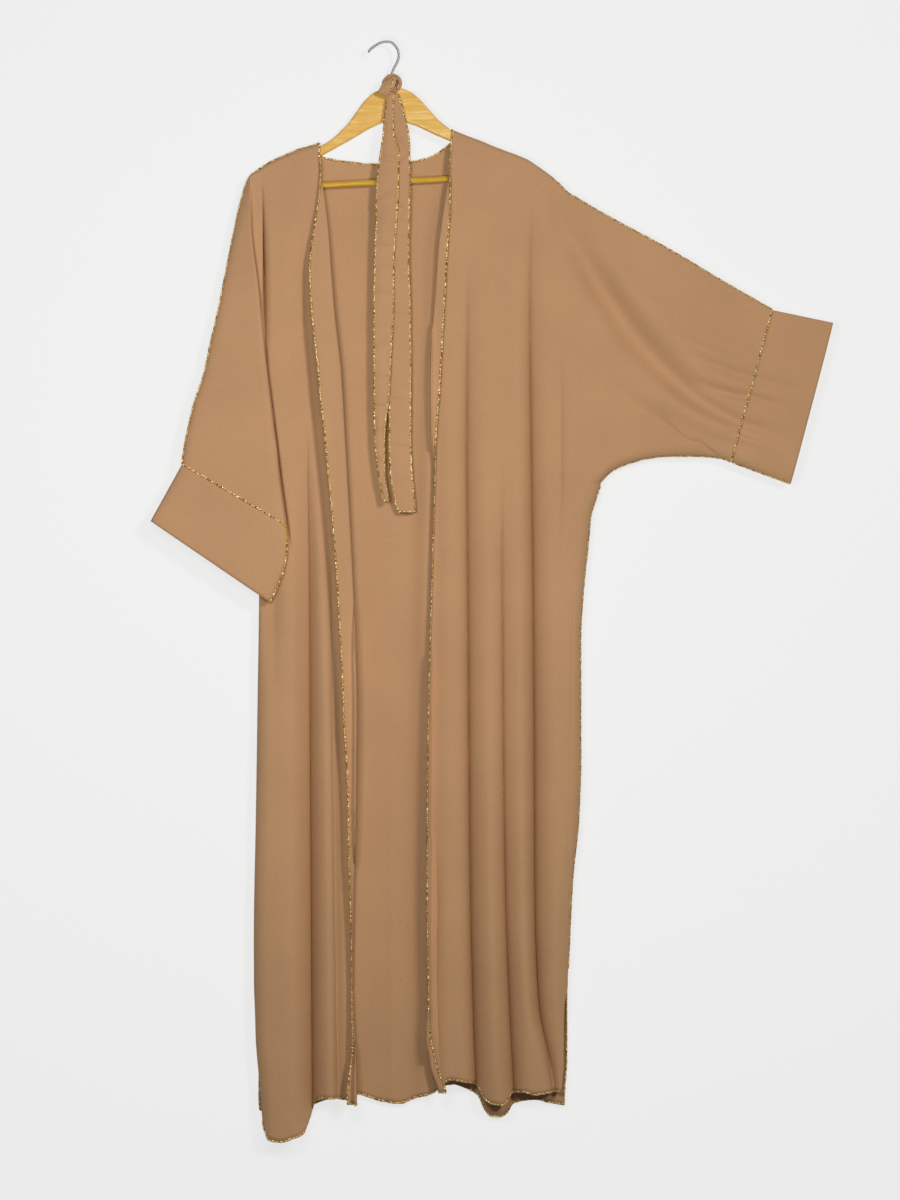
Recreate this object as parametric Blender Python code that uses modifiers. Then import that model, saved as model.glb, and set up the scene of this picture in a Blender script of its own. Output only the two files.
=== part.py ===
"""Open-front robe with batwing sleeves, hung on a wooden hanger, its belt tied round the hook.

Metres, +Z up. The front faces -Y and the wall side is +Y. The origin is the inner top of the hook's
bend, where a rail carries it. Tables are in millimetres: x to the right, down below the origin,
y towards the wall. Left and right in names are the wearer's: the left sleeve is held out (+X), the
right sleeve hangs (-X). Each cloth piece is the middle surface of the cloth, given its wall at the end.
"""
import math

import bmesh
import bpy
import numpy as np

MM = 0.001

# Driving sizes: cloth walls, and the room between two pieces where a seam joins them
CLOTH = 1.2
SEAM_HALF = 0.5
CUFF_SEAM = 0.9
CROTCH_STEP = 1.6
MERGE = 0.02
BELT_CLOTH = 1.6
WOOD_THICK = 12.0
WOOD_BEVEL = 4.5
HANGER_TILT = math.radians(2.9)
HANGER_TOP = (9.0, -66.0)
BAR_RADIUS = 4.8
BAR_DROP = 142.0
BAR_HALF = 189.6
WIRE_RADIUS = 1.9

# Rows of the cloth grids: over the shoulder, down to the underarm, then to the cuff or the hem
ROLL_DEGREES = (0.0, 22.0, 55.0, 90.0)
ROLL_ROWS = len(ROLL_DEGREES) - 1
UNDERARM_ROW = 12
CUFF_ROW = 16
HEM_ROW = 27
SIDE_ROUND = 22.0
SIDE_INSETS = (SIDE_ROUND, 9.0, 2.2, 0.0)
SIDE_SHARES = (0.0, 0.38, 0.72, 1.0)
HEM_READ_AT = 1570.0
UNDERARM_ROUND = 16.0
SHOULDER_BLEND = 150.0

# The roll of the cloth over the shoulder: tighter past the hanger's ends, with its seam behind the crest
EMPTY_ROLL = 4.5
WOOD_ROLL = 8.3
WOOD_REACH = 252.0
ROLL_BLEND = 30.0
SEAM_BEHIND_DEGREES = 32.0
SEAM_BEHIND_TO = 285.0
CURL_RADIUS = 2.6
CURL_SHARES = (0.35, 0.7, 1.0)

# How the layers come together: above an underarm, at the ends of a crease, down the neckline
UNDERARM_STEPS = (UNDERARM_ROUND, 5.5, 0.0)
UNDERARM_REACH = 80.0
HANGING_DROP = (0.82, 0.5)
CREASE_FADE = 60.0
NECK_ROW = 2.5
SLIT_BLEND = 60.0


def smooth_through(knots, values, at):
    """Cubic through the knots, with slopes held back so that it never overshoots them."""
    knots = np.asarray(knots, dtype=float)
    values = np.asarray(values, dtype=float)
    step = np.diff(knots)
    slope = np.diff(values) / step
    tangent = np.zeros_like(values)
    tangent[0] = slope[0]
    tangent[-1] = slope[-1]
    product = slope[:-1] * slope[1:]
    total = slope[:-1] + slope[1:]
    same_way = product > 0
    tangent[1:-1] = np.where(same_way, 2 * product / np.where(same_way, total, 1), 0)
    at = np.clip(at, knots[0], knots[-1])
    span = np.clip(np.searchsorted(knots, at) - 1, 0, len(step) - 1)
    t = (at - knots[span]) / step[span]
    start = values[span] * (1 + 2 * t) * (1 - t) ** 2 + tangent[span] * step[span] * t * (1 - t) ** 2
    end = values[span + 1] * t * t * (3 - 2 * t) - tangent[span + 1] * step[span] * t * t * (1 - t)
    return start + end


class Table:
    """Rows of sizes in mm under named columns, each column a smooth curve against the first one."""

    def __init__(self, names, rows):
        self.names = names.split()
        self.rows = np.array(rows, dtype=float)

    def column(self, name):
        return self.rows[:, self.names.index(name)]

    def read(self, name, at):
        return smooth_through(self.rows[:, 0], self.column(name), at)


def ease(value):
    """Smooth step from 0 to 1."""
    t = np.clip(value, 0, 1)
    return t * t * (3 - 2 * t)


# The outline along the top, which is the shoulder and overarm seam of each side
SHOULDER = Table("x down", [
    (-206, 207), (-200, 197.5), (-184, 186.8), (-166, 176.3), (-148, 168.5), (-130, 160.5), (-106, 154),
    (-60, 128), (9, 100), (70, 117), (106, 132.6), (119, 138), (143, 147), (167, 157), (191, 166),
    (215, 176), (227, 184), (239, 193), (251, 203), (263, 214), (275, 226), (287, 233),
    (319, 252), (361, 275), (402, 297), (453, 326), (501, 355), (555, 386), (581, 401)])
NECKLINE = Table("x down", [
    (-106.4, 158), (-105.8, 164), (-99, 168), (-86, 173), (-51, 178), (-20, 181), (10, 180), (40, 177), (64, 172),
    (83, 162), (98, 150), (105.8, 143), (106.4, 137.5)])
NECK_RIGHT = -106.7
NECK_LEFT = 106.7

# Front edges: where the cloth turns back over itself, how much is turned and through what angle
EDGE_RIGHT = Table("down fold_x turned angle", [
    (150, -101, 5, 0), (170, -101, 5, 20), (205, -98, 6, 95), (228, -94, 9, 150), (264, -89, 18, 178),
    (303, -85, 27, 180), (343, -82, 33, 180), (412, -76, 35, 180), (493, -67, 35, 180),
    (609, -60, 30, 180), (717, -54, 26, 180), (873, -46.5, 23, 180), (995, -43, 21, 180),
    (1110, -44, 14, 176), (1198, -46, 11, 172), (1284, -49, 8, 140), (1405, -50, 7, 110),
    (1509, -46, 8, 140), (1567, -44, 14, 176), (1620, -44, 15, 176)])
EDGE_LEFT = Table("down fold_x turned angle", [
    (130, 104, 5, 0), (150, 103.5, 5, 15), (197, 99, 6, 100), (222, 95, 7.5, 150), (260, 89, 11, 176),
    (303, 83, 14, 178), (358, 79, 15, 180), (457, 72, 16.5, 180), (505, 70.5, 15.5, 178),
    (562, 71, 11, 172), (609, 73, 7.5, 150), (643, 75.5, 6, 115), (780, 73, 6, 95),
    (957, 68, 6, 95), (1165, 65, 6, 100), (1291, 64, 6, 110), (1422, 66, 6, 110),
    (1479, 64.5, 8, 150), (1534, 71, 11, 176), (1567, 82, 12, 178), (1600, 86, 12, 178)])

# Sides: the right one hangs behind the sleeve, and its seam lies behind the fold lower down
SIDE_RIGHT = Table("down x seam_degrees", [
    (186, -184.5, 0), (300, -184, 0), (430, -185, 0), (580, -188, 0), (660, -188.5, -20),
    (800, -188.5, -60), (1000, -191, -70), (1165, -193.5, -70), (1345, -196.5, -70),
    (1480, -195.5, -60), (1560, -191, -20), (1620, -188, 0)])
SIDE_LEFT = Table("down x", [
    (130, 319), (252, 319), (450, 321), (659, 322.5), (682, 316), (712, 307.5), (745, 304.5),
    (835, 295.5), (895, 292.5), (1075, 292.5), (1165, 289.5), (1255, 280.5), (1345, 276),
    (1435, 273), (1525, 273), (1570, 270), (1620, 268)])
UNDERARM_RIGHT = 580.0
UNDERARM_LEFT = 659.0
SLIT_TOP = 1410.0
SLIT_OPEN = 10.0
SLIT_LAP = 9.0

# Hem heights across each panel
HEM_RIGHT_FRONT = Table("x down", [
    (-193, 1608), (-184, 1628), (-176, 1642), (-158, 1645), (-142, 1641), (-125, 1632),
    (-113, 1610), (-104, 1586), (-92, 1581), (-74, 1581), (-62, 1584), (-44, 1588)])
HEM_LEFT_FRONT = Table("x down", [
    (82, 1572), (92, 1558), (106, 1553), (123, 1556), (137, 1561), (149, 1582), (159, 1588),
    (178, 1590), (190, 1574), (208, 1571), (224, 1575), (243, 1573), (260, 1572)])
HEM_BACK = Table("x down", [
    (-195, 1600), (-150, 1612), (-100, 1590), (-44, 1578), (-7, 1588), (22, 1592), (44, 1584),
    (70, 1577), (94, 1563), (107, 1565), (122, 1570), (140, 1580), (151, 1602), (160, 1611),
    (174, 1612), (185, 1605), (193, 1592), (212, 1588), (229, 1587), (246, 1591), (270, 1594)])

# Depth of each layer and its hanging folds: y is towards the viewer where negative
LAYERS = Table("down front back", [
    (130, -8, 8), (300, -10, 9.5), (600, -14, 12), (1000, -19, 15), (1550, -25, 18)])
FOLDS_FRONT_RIGHT = Table("x_high x_low y_high y_low", [
    (-190, -194, 0, -2), (-172, -174, -2, -11), (-120, -107, 3, 10), (-94, -89, -1, -3),
    (-72, -66, 1.5, 4), (-46, -44, 0, -1)])
FOLDS_FRONT_LEFT = Table("x_high x_low y_high y_low", [
    (72, 66, 0, -1), (95, 96, -2.5, -5), (118, 130, 2.5, 10), (154, 166, -2.5, -12),
    (177, 189, 1, 5), (200, 206, -1.5, -4), (222, 236, 2.5, 8), (248, 256, -2.5, -5),
    (294, 272, 0, 0)])
FOLDS_BACK = Table("x_high x_low y_high y_low", [
    (-190, -194, 0, 0), (-150, -155, -1, -6), (-95, -96, 2, 5), (-40, -38, -1, -3),
    (5, 8, 1.5, 5), (45, 48, -1.5, -4), (92, 96, 2, 6), (160, 166, -2, -9), (205, 208, 1, 4),
    (294, 272, 0, 0)])
FOLDS_START = 330.0
FOLDS_FULL = 1500.0

# Soft creases laid over a panel: a line from one point to another, its half width and depth
CREASES_FRONT_LEFT = Table("x1 down1 x2 down2 half depth", [
    (262, 226, 456, 513, 16, 4.0), (297, 250, 366, 348, 14, -3.0), (150, 200, 170, 640, 22, 2.0),
    (225, 420, 300, 650, 20, -3.5), (340, 470, 500, 600, 20, -3.0), (255, 330, 285, 620, 16, 2.5)])
CREASES_FRONT_RIGHT = Table("x1 down1 x2 down2 half depth", [
    (-140, 190, -150, 640, 16, -2.5), (-168, 200, -168, 520, 10, 2.0)])
CREASES_BACK = Table("x1 down1 x2 down2 half depth", [
    (262, 226, 456, 513, 16, -4.0), (340, 470, 500, 600, 20, 3.0), (225, 420, 300, 650, 20, 3.5),
    (-80, 230, -60, 700, 18, 2.0), (80, 230, 60, 700, 18, 2.0)])

# The sleeve that hangs, section by section: its inner line, the fold that shows and its outer seam
HANGING = Table("row inner_down inner_x inner_y middle_y fold_x outer_down front_y outer_y", [
    (0, 186, -184.5, 0, -1, -196, 207, -3, 0),
    (3, 194, -184.5, 0, -8, -197, 214, -8, 0),
    (5, 262, -184, 0, -11, -199, 272, -13, -1),
    (7, 348, -184.5, 0, -15, -189, 340, -20, -4),
    (9, 440, -185.5, 0, -19, -181, 414, -27, -8),
    (12, 580, -188, 0, -22, -166, 514, -33, -15),
    (13, 612, -193, -11, -24, -161, 544, -36, -17),
    (14, 656, -186, -25, -27, -157, 574, -38, -19),
    (15, 694, -174, -29, -30, -152, 603, -39, -21),
    (16, 732, -160, -31, -32, -147, 633, -40, -22)])
SLEEVE_OUTER = Table("down x", [
    (207, -206), (224, -212), (274, -224), (334, -236), (405, -250), (448, -260), (500, -271),
    (535, -283), (595, -297), (633, -303)])
OUTER_ROUND = 12.0

# The sleeve that is held out: its underarm line from the side to the cuff seam
UNDERARM = Table("x down", [
    (322.5, 659), (334, 646), (350, 636), (366, 630), (390, 623), (427, 619), (465, 619),
    (503, 622), (519, 628)])
SLEEVE_HALF_DEPTH = 9.0
HELD_TOP = (319.0, 581.0)
HELD_LOW = (322.5, 519.0)

# Cuff openings: the two ends of each opening edge and the depth of its middle
CUFF_LEFT_OPENING = {"top": (672, 420), "bottom": (608.5, 661), "middle_y": 0.0, "half": 10.0}
CUFF_RIGHT_OPENING = {"top": (-349, 718), "bottom": (-171.5, 839), "middle_y": -30.0, "half": 8.0}
CUFF_ROWS = 4

# The hanger's outline from its crown, half of it: across from the middle, down from the top
WOOD_OUTLINE = Table("across drop", [
    (0, 0), (14, 2), (30, 9), (43, 21), (54, 35), (68, 52.5), (88, 70.5), (97.5, 77), (115.5, 86),
    (157, 103), (193, 118.5), (205, 126), (210.5, 134), (210, 146), (203, 154), (190, 152), (189.9, 134),
    (150, 118), (99, 93), (60, 74), (36, 61), (17, 53.5), (0, 50)])

# The hook's wire, from its tip round the bend to the crown
HOOK = Table("x down", [
    (-25.2, 14.5), (-22.5, 9.5), (-17.5, 6.2), (-10, 1.0), (0, -1.9), (8.4, -1.9), (14, 2.5), (18.5, 8.5),
    (21, 16.8), (19.8, 25.5), (15.5, 34), (11.3, 42.5), (9.4, 51), (9, 58), (9, 65.5)])

# Belt tails: left and right edge as they hang, and the depth of their middle
BELT_FRONT = Table("down left right y", [
    (76, 4.5, 13.5, -12.4), (86, 3, 13, -12.7), (116, -1.5, 13.5, -13.3), (140, -3, 14, -13.8),
    (161, -6, 21, -14), (213, -12, 21, -14),
    (270, -13.5, 18, -14), (322, -15, 14, -14), (390, -16.5, 13.5, -14), (460, -16.5, 10.5, -14),
    (517, -16.5, 7.5, -14), (597, -15, 0, -13), (643, -10.5, 0, -12), (688, -2, 7, -12)])
BELT_BACK = Table("down left right y", [
    (78, 9, 20, -9.6), (88, 10, 24, -9.6), (116, 12, 31, -9.6), (140, 10, 36, -9.6), (161, 6, 37.5, -9.5),
    (213, 4, 37.5, -9),
    (322, 4, 36, -8), (390, 5, 38, -7), (517, 6, 39, -6), (597, 6.5, 39, -5), (643, 8, 41, -5),
    (688, 15, 45, -5), (704, 20, 46.5, -5)])
BELT_BULGE = 3.0

# The wrap of the knot, which crosses in front of the loop and holds the tails, along its length
BELT_WRAP = Table("along x down y across deep", [
    (0, 16, 54, -15.6, 3, 2), (1, 11, 60, -17.4, 7, 4), (2, 5, 68, -18.5, 8.5, 4.5), (3, 0, 76, -19, 7.5, 4),
    (4, -4, 83, -18.5, 5, 2.5)])


def fold_depth(folds, x, down):
    """Cosine waves between the fold lines, which drift and deepen from the shoulder to the hem."""
    reach = np.clip((down - FOLDS_START) / (FOLDS_FULL - FOLDS_START), 0, 1)
    depth = np.zeros_like(x)
    x_high = folds.column("x_high")
    x_low = folds.column("x_low")
    y_high = folds.column("y_high")
    y_low = folds.column("y_low")
    shown = ease((down - FOLDS_START + 130) / 260)
    for near, far in zip(range(len(x_high) - 1), range(1, len(x_high))):
        x0 = x_high[near] + (x_low[near] - x_high[near]) * reach
        x1 = x_high[far] + (x_low[far] - x_high[far]) * reach
        y0 = y_high[near] + (y_low[near] - y_high[near]) * reach
        y1 = y_high[far] + (y_low[far] - y_high[far]) * reach
        t = (x - x0) / (x1 - x0)
        wave = y0 + (y1 - y0) * (1 - np.cos(math.pi * np.clip(t, 0, 1))) / 2
        depth = np.where((t >= 0) & (t <= 1), wave, depth)
    return depth * shown


def crease_depth(creases, x, down):
    """Sum of soft troughs and ridges, each a bell across its line that fades at the line's ends."""
    depth = np.zeros_like(x)
    for x1, down1, x2, down2, half, height in creases.rows:
        length = math.hypot(x2 - x1, down2 - down1)
        along = ((x - x1) * (x2 - x1) + (down - down1) * (down2 - down1)) / length
        across = ((x - x1) * (down2 - down1) - (down - down1) * (x2 - x1)) / length
        fade = ease(along / CREASE_FADE + 0.5) * ease((length - along) / CREASE_FADE + 0.5)
        depth = depth + height * fade * np.exp(-(across / half) ** 2)
    return depth


def roll_radius(x):
    """Radius of the cloth over the shoulder: round the wood, then tighter where nothing is inside."""
    across = np.abs(x - HANGER_TOP[0])
    return EMPTY_ROLL + (WOOD_ROLL - EMPTY_ROLL) * ease((WOOD_REACH - across) / ROLL_BLEND)


def seam_behind(x):
    """Angle in degrees by which the shoulder seam lies behind the crest."""
    return SEAM_BEHIND_DEGREES * ease(x / 40) * ease((SEAM_BEHIND_TO - x) / 60)


def layer_depth(side, x, down, folds, creases):
    """Depth of a panel: -1 for a front, 1 for the back, with its folds and creases."""
    column = "front" if side < 0 else "back"
    return LAYERS.read(column, down) + fold_depth(folds, x, down) + crease_depth(creases, x, down)


def row_fractions(top, underarm, hem, near_underarm):
    """Distance down at each row of a column, evenly spaced but for two rows close above the underarm."""
    row = np.arange(HEM_ROW + 1, dtype=float)
    even_rows = UNDERARM_ROW - ROLL_ROWS
    stop = underarm - UNDERARM_STEPS[0]
    down = np.empty(HEM_ROW + 1)
    even = top + (underarm - top) * (row - ROLL_ROWS) / even_rows
    bunched = top + (stop - top) * (row - ROLL_ROWS) / (even_rows - 2)
    down[:] = even * (1 - near_underarm) + bunched * near_underarm
    for back, distance in enumerate(UNDERARM_STEPS[::-1]):
        place = UNDERARM_ROW - back
        down[place] = even[place] * (1 - near_underarm) + (underarm - distance) * near_underarm
    below = (row - UNDERARM_ROW) / (HEM_ROW - UNDERARM_ROW)
    lower = underarm + (hem - underarm) * below
    return np.where(row <= UNDERARM_ROW, down, lower)


def closing(distance, width):
    """Share of a layer's depth that is left at a distance from the seam where both layers meet."""
    near = np.clip(distance / width, 0, 1)
    return np.sqrt(1 - (1 - near) ** 2)


def distance_to_line(x, down, line_x, line_down):
    """Shortest distance from each point to a line of straight stretches."""
    best = np.full(x.shape, np.inf)
    for i in range(len(line_x) - 1):
        dx = line_x[i + 1] - line_x[i]
        dd = line_down[i + 1] - line_down[i]
        t = np.clip(((x - line_x[i]) * dx + (down - line_down[i]) * dd) / (dx * dx + dd * dd), 0, 1)
        gap = np.hypot(x - line_x[i] - t * dx, down - line_down[i] - t * dd)
        best = np.minimum(best, gap)
    return best


def over_shoulder(side, x, row, line):
    """Depth and height of the rows that roll over the shoulder, for one side of the seam."""
    radius = roll_radius(x)
    behind = np.radians(seam_behind(x))
    start = -behind if side < 0 else behind
    stitch = SEAM_HALF / radius
    angle = start + stitch + (math.pi / 2 - start - stitch) * math.radians(ROLL_DEGREES[row]) / (math.pi / 2)
    return side * radius * np.sin(angle), line + radius * (1 - np.cos(angle))


def place_rows(side, x_of, tops, mids, hems, near, folds, creases):
    """Body grid of one panel: rows over the shoulder first, then rows that hang below it."""
    columns = len(tops)
    down = np.empty((HEM_ROW + 1, columns))
    for j in range(columns):
        radius = float(roll_radius(np.array(x_of(j, tops[j]))))
        down[:, j] = row_fractions(tops[j] + radius, mids[j], hems[j], near[j])
    x = np.array([[float(x_of(j, down[k, j])) for j in range(columns)] for k in range(HEM_ROW + 1)])
    y = np.empty_like(x)
    for k in range(ROLL_ROWS):
        x[k] = [float(x_of(j, tops[j])) for j in range(columns)]
        line = SHOULDER.read("down", x[k])
        y[k], rolled = over_shoulder(side, x[k], k, line)
        radius = roll_radius(x[k])
        hung = np.array(tops) > line + 3
        y[k] = np.where(hung, side * radius * closing(np.array(tops) - line, radius), y[k])
        down[k] = np.where(hung, np.array(tops) + k * NECK_ROW, rolled)
    lower = slice(ROLL_ROWS, None)
    line = np.minimum(SHOULDER.read("down", x[lower]), down[lower])
    rolled = side * roll_radius(x[lower]) * closing(down[lower] - line + 0.01, roll_radius(x[lower]))
    hanging = layer_depth(side, x[lower], down[lower], folds, creases)
    y[lower] = rolled + (hanging - rolled) * ease((down[lower] - line) / SHOULDER_BLEND)
    return x, down, y


def held_sleeve(side, folds, creases, shared):
    """Grid of the sleeve that is held out, from the body's side to the cuff seam."""
    reach = (0.0, 0.1, 0.22, 0.35, 0.48, 0.6, 0.72, 0.83, 0.92, 1.0)
    x = np.empty((UNDERARM_ROW + 1, len(reach)))
    down = np.empty_like(x)
    y = np.empty_like(x)
    top_x = HELD_TOP[0] + (HELD_TOP[1] - HELD_TOP[0]) * np.array(reach)
    low_x = HELD_LOW[0] + (HELD_LOW[1] - HELD_LOW[0]) * np.array(reach)
    top_down = SHOULDER.read("down", top_x)
    low_down = UNDERARM.read("down", low_x)
    for j in range(len(reach)):
        radius = float(roll_radius(np.array(top_x[j])))
        rows = row_fractions(top_down[j] + radius, low_down[j], low_down[j] + 1, 1.0)[:UNDERARM_ROW + 1]
        share = (rows - top_down[j]) / (low_down[j] - top_down[j])
        down[:, j] = rows
        x[:, j] = top_x[j] + (low_x[j] - top_x[j]) * share
    for k in range(ROLL_ROWS):
        x[k] = top_x
        y[k], down[k] = over_shoulder(side, top_x, k, top_down)
    lower = slice(ROLL_ROWS, None)
    reached = np.broadcast_to(np.array(reach), x[lower].shape)
    hanging = layer_depth(side, x[lower], down[lower], folds, creases)
    flat = side * SLEEVE_HALF_DEPTH + crease_depth(creases, x[lower], down[lower])
    flat = hanging + (flat - hanging) * ease(reached * 1.6)
    rolled = side * roll_radius(x[lower])
    y[lower] = rolled + (flat - rolled) * ease((down[lower] - top_down) / SHOULDER_BLEND)
    line_x = UNDERARM.column("x")
    line_down = UNDERARM.column("down")
    distance = distance_to_line(x[lower], down[lower], line_x, line_down)
    distance[-1] = 0
    seam = side * SEAM_HALF
    y[lower] = seam + (y[lower] - seam) * closing(distance, UNDERARM_ROUND)
    body_x, body_down, body_y = shared
    x[:, 0] = body_x[:UNDERARM_ROW + 1]
    down[:, 0] = body_down[:UNDERARM_ROW + 1]
    y[:, 0] = body_y[:UNDERARM_ROW + 1]
    return x, down, y


def hanging_rows():
    """Every row of the hanging sleeve, read from its table of sections."""
    row = np.arange(CUFF_ROW + 1, dtype=float)
    names = HANGING.names[1:]
    return {name: HANGING.read(name, row) for name in names}


def hanging_front(shared):
    """Front of the hanging sleeve: back over the body, round the fold that shows, out to the seam."""
    section = hanging_rows()
    flat_share = (0.0, 0.17, 0.34, 0.52, 0.72, 0.9)
    fold_share = (0.0, 0.0, 0.25, 0.62, 0.93, 1.0)
    spread = (0.06, 0.17, 0.3, 0.45, 0.6, 0.75, 0.87, 0.95, 0.987, 1.0)
    folded_count = len(fold_share)
    count = folded_count + len(spread)
    x = np.empty((CUFF_ROW + 1, count))
    down = np.empty_like(x)
    y = np.empty_like(x)
    body_x, body_down, body_y = shared
    for k in range(CUFF_ROW + 1):
        inner_x = section["inner_x"][k]
        inner_down = section["inner_down"][k]
        inner_y = section["inner_y"][k] - SEAM_HALF
        joined = k <= UNDERARM_ROW
        if joined:
            inner_x, inner_down, inner_y = body_x[k], body_down[k], body_y[k]
        outer_down = section["outer_down"][k]
        outer_x = float(SLEEVE_OUTER.read("x", outer_down))
        fold_x = section["fold_x"][k]
        fold_down = inner_down + (outer_down - inner_down) * 0.08
        middle_y = section["middle_y"][k]
        front_y = section["front_y"][k]
        outer_y = section["outer_y"][k] - SEAM_HALF
        folded = float(ease((fold_x - inner_x + 8) / 14))
        bend_y = (middle_y + front_y) / 2
        levels = (inner_y, (inner_y + middle_y) / 2, middle_y, middle_y - 0.3, middle_y - 0.6, bend_y)
        if not joined:
            levels = (inner_y, inner_y + (middle_y - inner_y) * 0.5, middle_y, middle_y, middle_y - 0.4, bend_y)
        for j in range(folded_count):
            share = flat_share[j] + (fold_share[j] - flat_share[j]) * folded
            x[k, j] = inner_x + (fold_x - inner_x) * share
            if j == 1:
                x[k, j] += (-1.6 if joined else 1.5) * folded
            down[k, j] = inner_down + (fold_down - inner_down) * share
            even = inner_y + (front_y - inner_y) * flat_share[j]
            y[k, j] = even + (levels[j] - even) * folded
        for i, share in enumerate(spread):
            j = folded_count + i
            x[k, j] = fold_x + (outer_x - fold_x) * share
            down[k, j] = fold_down + (outer_down - fold_down) * share
            level = front_y + (outer_y - 5.5 - front_y) * share
            round_off = float(closing(np.array(abs(x[k, j] - outer_x)), OUTER_ROUND))
            y[k, j] = outer_y + (level - outer_y) * round_off
    return x, down, y


def hanging_back(shared):
    """Back of the hanging sleeve, from the body's side or the underarm seam out to the outer seam."""
    section = hanging_rows()
    spread = (0.0, 0.03, 0.12, 0.26, 0.42, 0.58, 0.74, 0.87, 0.95, 0.985, 1.0)
    x = np.empty((CUFF_ROW + 1, len(spread)))
    down = np.empty_like(x)
    y = np.empty_like(x)
    body_x, body_down, body_y = shared
    for k in range(CUFF_ROW + 1):
        inner_x = section["inner_x"][k]
        inner_down = section["inner_down"][k]
        inner_y = section["inner_y"][k] + SEAM_HALF
        if k <= UNDERARM_ROW:
            inner_x, inner_down, inner_y = body_x[k], body_down[k], body_y[k]
        else:
            inner_x -= CROTCH_STEP
        outer_down = section["outer_down"][k]
        outer_x = float(SLEEVE_OUTER.read("x", outer_down))
        outer_y = section["outer_y"][k] + SEAM_HALF
        for j, share in enumerate(spread):
            x[k, j] = inner_x + (outer_x - inner_x) * share
            down[k, j] = inner_down + (outer_down - inner_down) * share
            level = inner_y + (outer_y + 5 - inner_y) * share
            round_off = float(closing(np.array(abs(x[k, j] - outer_x)), OUTER_ROUND))
            y[k, j] = outer_y + (level - outer_y) * round_off
            if j == 0:
                y[k, j] = inner_y
    return x, down, y


def side_angles(table, down):
    """Angle round the side at which the seam lies: 0 at the extreme edge, negative behind it."""
    if "seam_degrees" not in table.names:
        return np.zeros_like(down)
    return np.radians(table.read("seam_degrees", down))


def wrap_side(x, down, y, table, outward, layer, other, columns, behind):
    """Round the last columns of a body grid to the side seam, below the underarm.

    columns lists them from the seam inwards with their share of the turn. behind is -1 for a front,
    whose turn starts in front, and 1 for the back.
    """
    below = slice(UNDERARM_ROW, None)
    for column, share in columns:
        d = down[below, column]
        angle_seam = side_angles(table, d)
        if behind < 0:
            angle = math.pi / 2 + (angle_seam - math.pi / 2) * share
        else:
            angle = -math.pi / 2 + (angle_seam + math.pi / 2) * share
        edge = table.read("x", d)
        x[below, column] = edge - outward * SIDE_ROUND * (1 - np.cos(angle))
        front = layer[:, column] if behind < 0 else other(x[below, column], d)
        back = other(x[below, column], d) if behind < 0 else layer[:, column]
        toward = np.where(angle >= 0, front, back) * np.abs(np.sin(angle))
        gap = behind * SEAM_HALF if share == 1 else 0
        y[below, column] = toward + gap * np.cos(angle)
        if share == 1:
            x[below, column] += outward * behind * SEAM_HALF * np.sin(angle)


def open_slit(x, down, y, column, outward, side):
    """Part the front and back edges of the side seam below the top of the slit."""
    opened = ease((down[:, column] - SLIT_TOP) / SLIT_BLEND)
    y[:, column] += side * SLIT_OPEN / 2 * opened
    if side < 0:
        x[:, column] -= outward * SLIT_LAP * opened


def mesh_from_grids(name, grids):
    """One mesh from several grids that share points along their joins."""
    mesh = bpy.data.meshes.new(name)
    build = bmesh.new()
    for x, down, y in grids:
        rows, columns = x.shape
        points = [[build.verts.new((x[k, j] * MM, y[k, j] * MM, -down[k, j] * MM))
                   for j in range(columns)] for k in range(rows)]
        for k in range(rows - 1):
            for j in range(columns - 1):
                build.faces.new((points[k][j], points[k + 1][j], points[k + 1][j + 1], points[k][j + 1]))
    bmesh.ops.remove_doubles(build, verts=build.verts, dist=MERGE * MM)
    bmesh.ops.recalc_face_normals(build, faces=build.faces)
    for face in build.faces:
        face.smooth = True
    build.to_mesh(mesh)
    build.free()
    return mesh


def add_object(name, data, material, collection):
    data.materials.append(material)
    thing = bpy.data.objects.new(name, data)
    collection.objects.link(thing)
    return thing


def add_cloth(name, grids, material, collection, wall=CLOTH):
    """A cloth piece: its middle surface, thickened to both sides."""
    piece = add_object(name, mesh_from_grids(name, grids), material, collection)
    thickness = piece.modifiers.new("wall", "SOLIDIFY")
    thickness.thickness = wall * MM
    thickness.offset = 0
    thickness.use_even_offset = False
    return piece


def flap_columns(table, outward, x, down, y, folds, creases):
    """The turned-back strip of a front: its curl at the fold line and its flat part over the panel.

    outward is the direction across from the opening to the side.
    """
    column = 0
    d = down[:, column].copy()
    fold_x = x[:, column]
    fold_y = y[:, column]
    width = table.read("turned", d)
    angle = np.radians(table.read("angle", d))
    radius = np.minimum(CURL_RADIUS, width / 3)
    turned = []
    for share in CURL_SHARES:
        a = angle * share
        turned.append((-outward * radius * np.sin(a), -radius * (1 - np.cos(a))))
    base = turned[-1]
    for share in (0.5, 1.0):
        length = (width - radius) * share
        turned.append((base[0] - outward * length * np.cos(angle), base[1] - length * np.sin(angle)))
    slope = ease((330 - d) / 120)
    new_x, new_down, new_y = [], [], []
    for dx, dy in turned:
        there = fold_x + dx
        rise = (SHOULDER.read("down", there) - SHOULDER.read("down", fold_x)) * slope
        under = layer_depth(-1, there, d, folds, creases) - layer_depth(-1, fold_x, d, folds, creases)
        follow = np.clip(-np.cos(angle), 0, 1)
        new_x.append(there)
        new_down.append(d + rise)
        new_y.append(fold_y + dy + under * follow)
    order = slice(None, None, -1)
    return (np.column_stack(new_x[order] + [x]), np.column_stack(new_down[order] + [down]),
            np.column_stack(new_y[order] + [y]))


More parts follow.
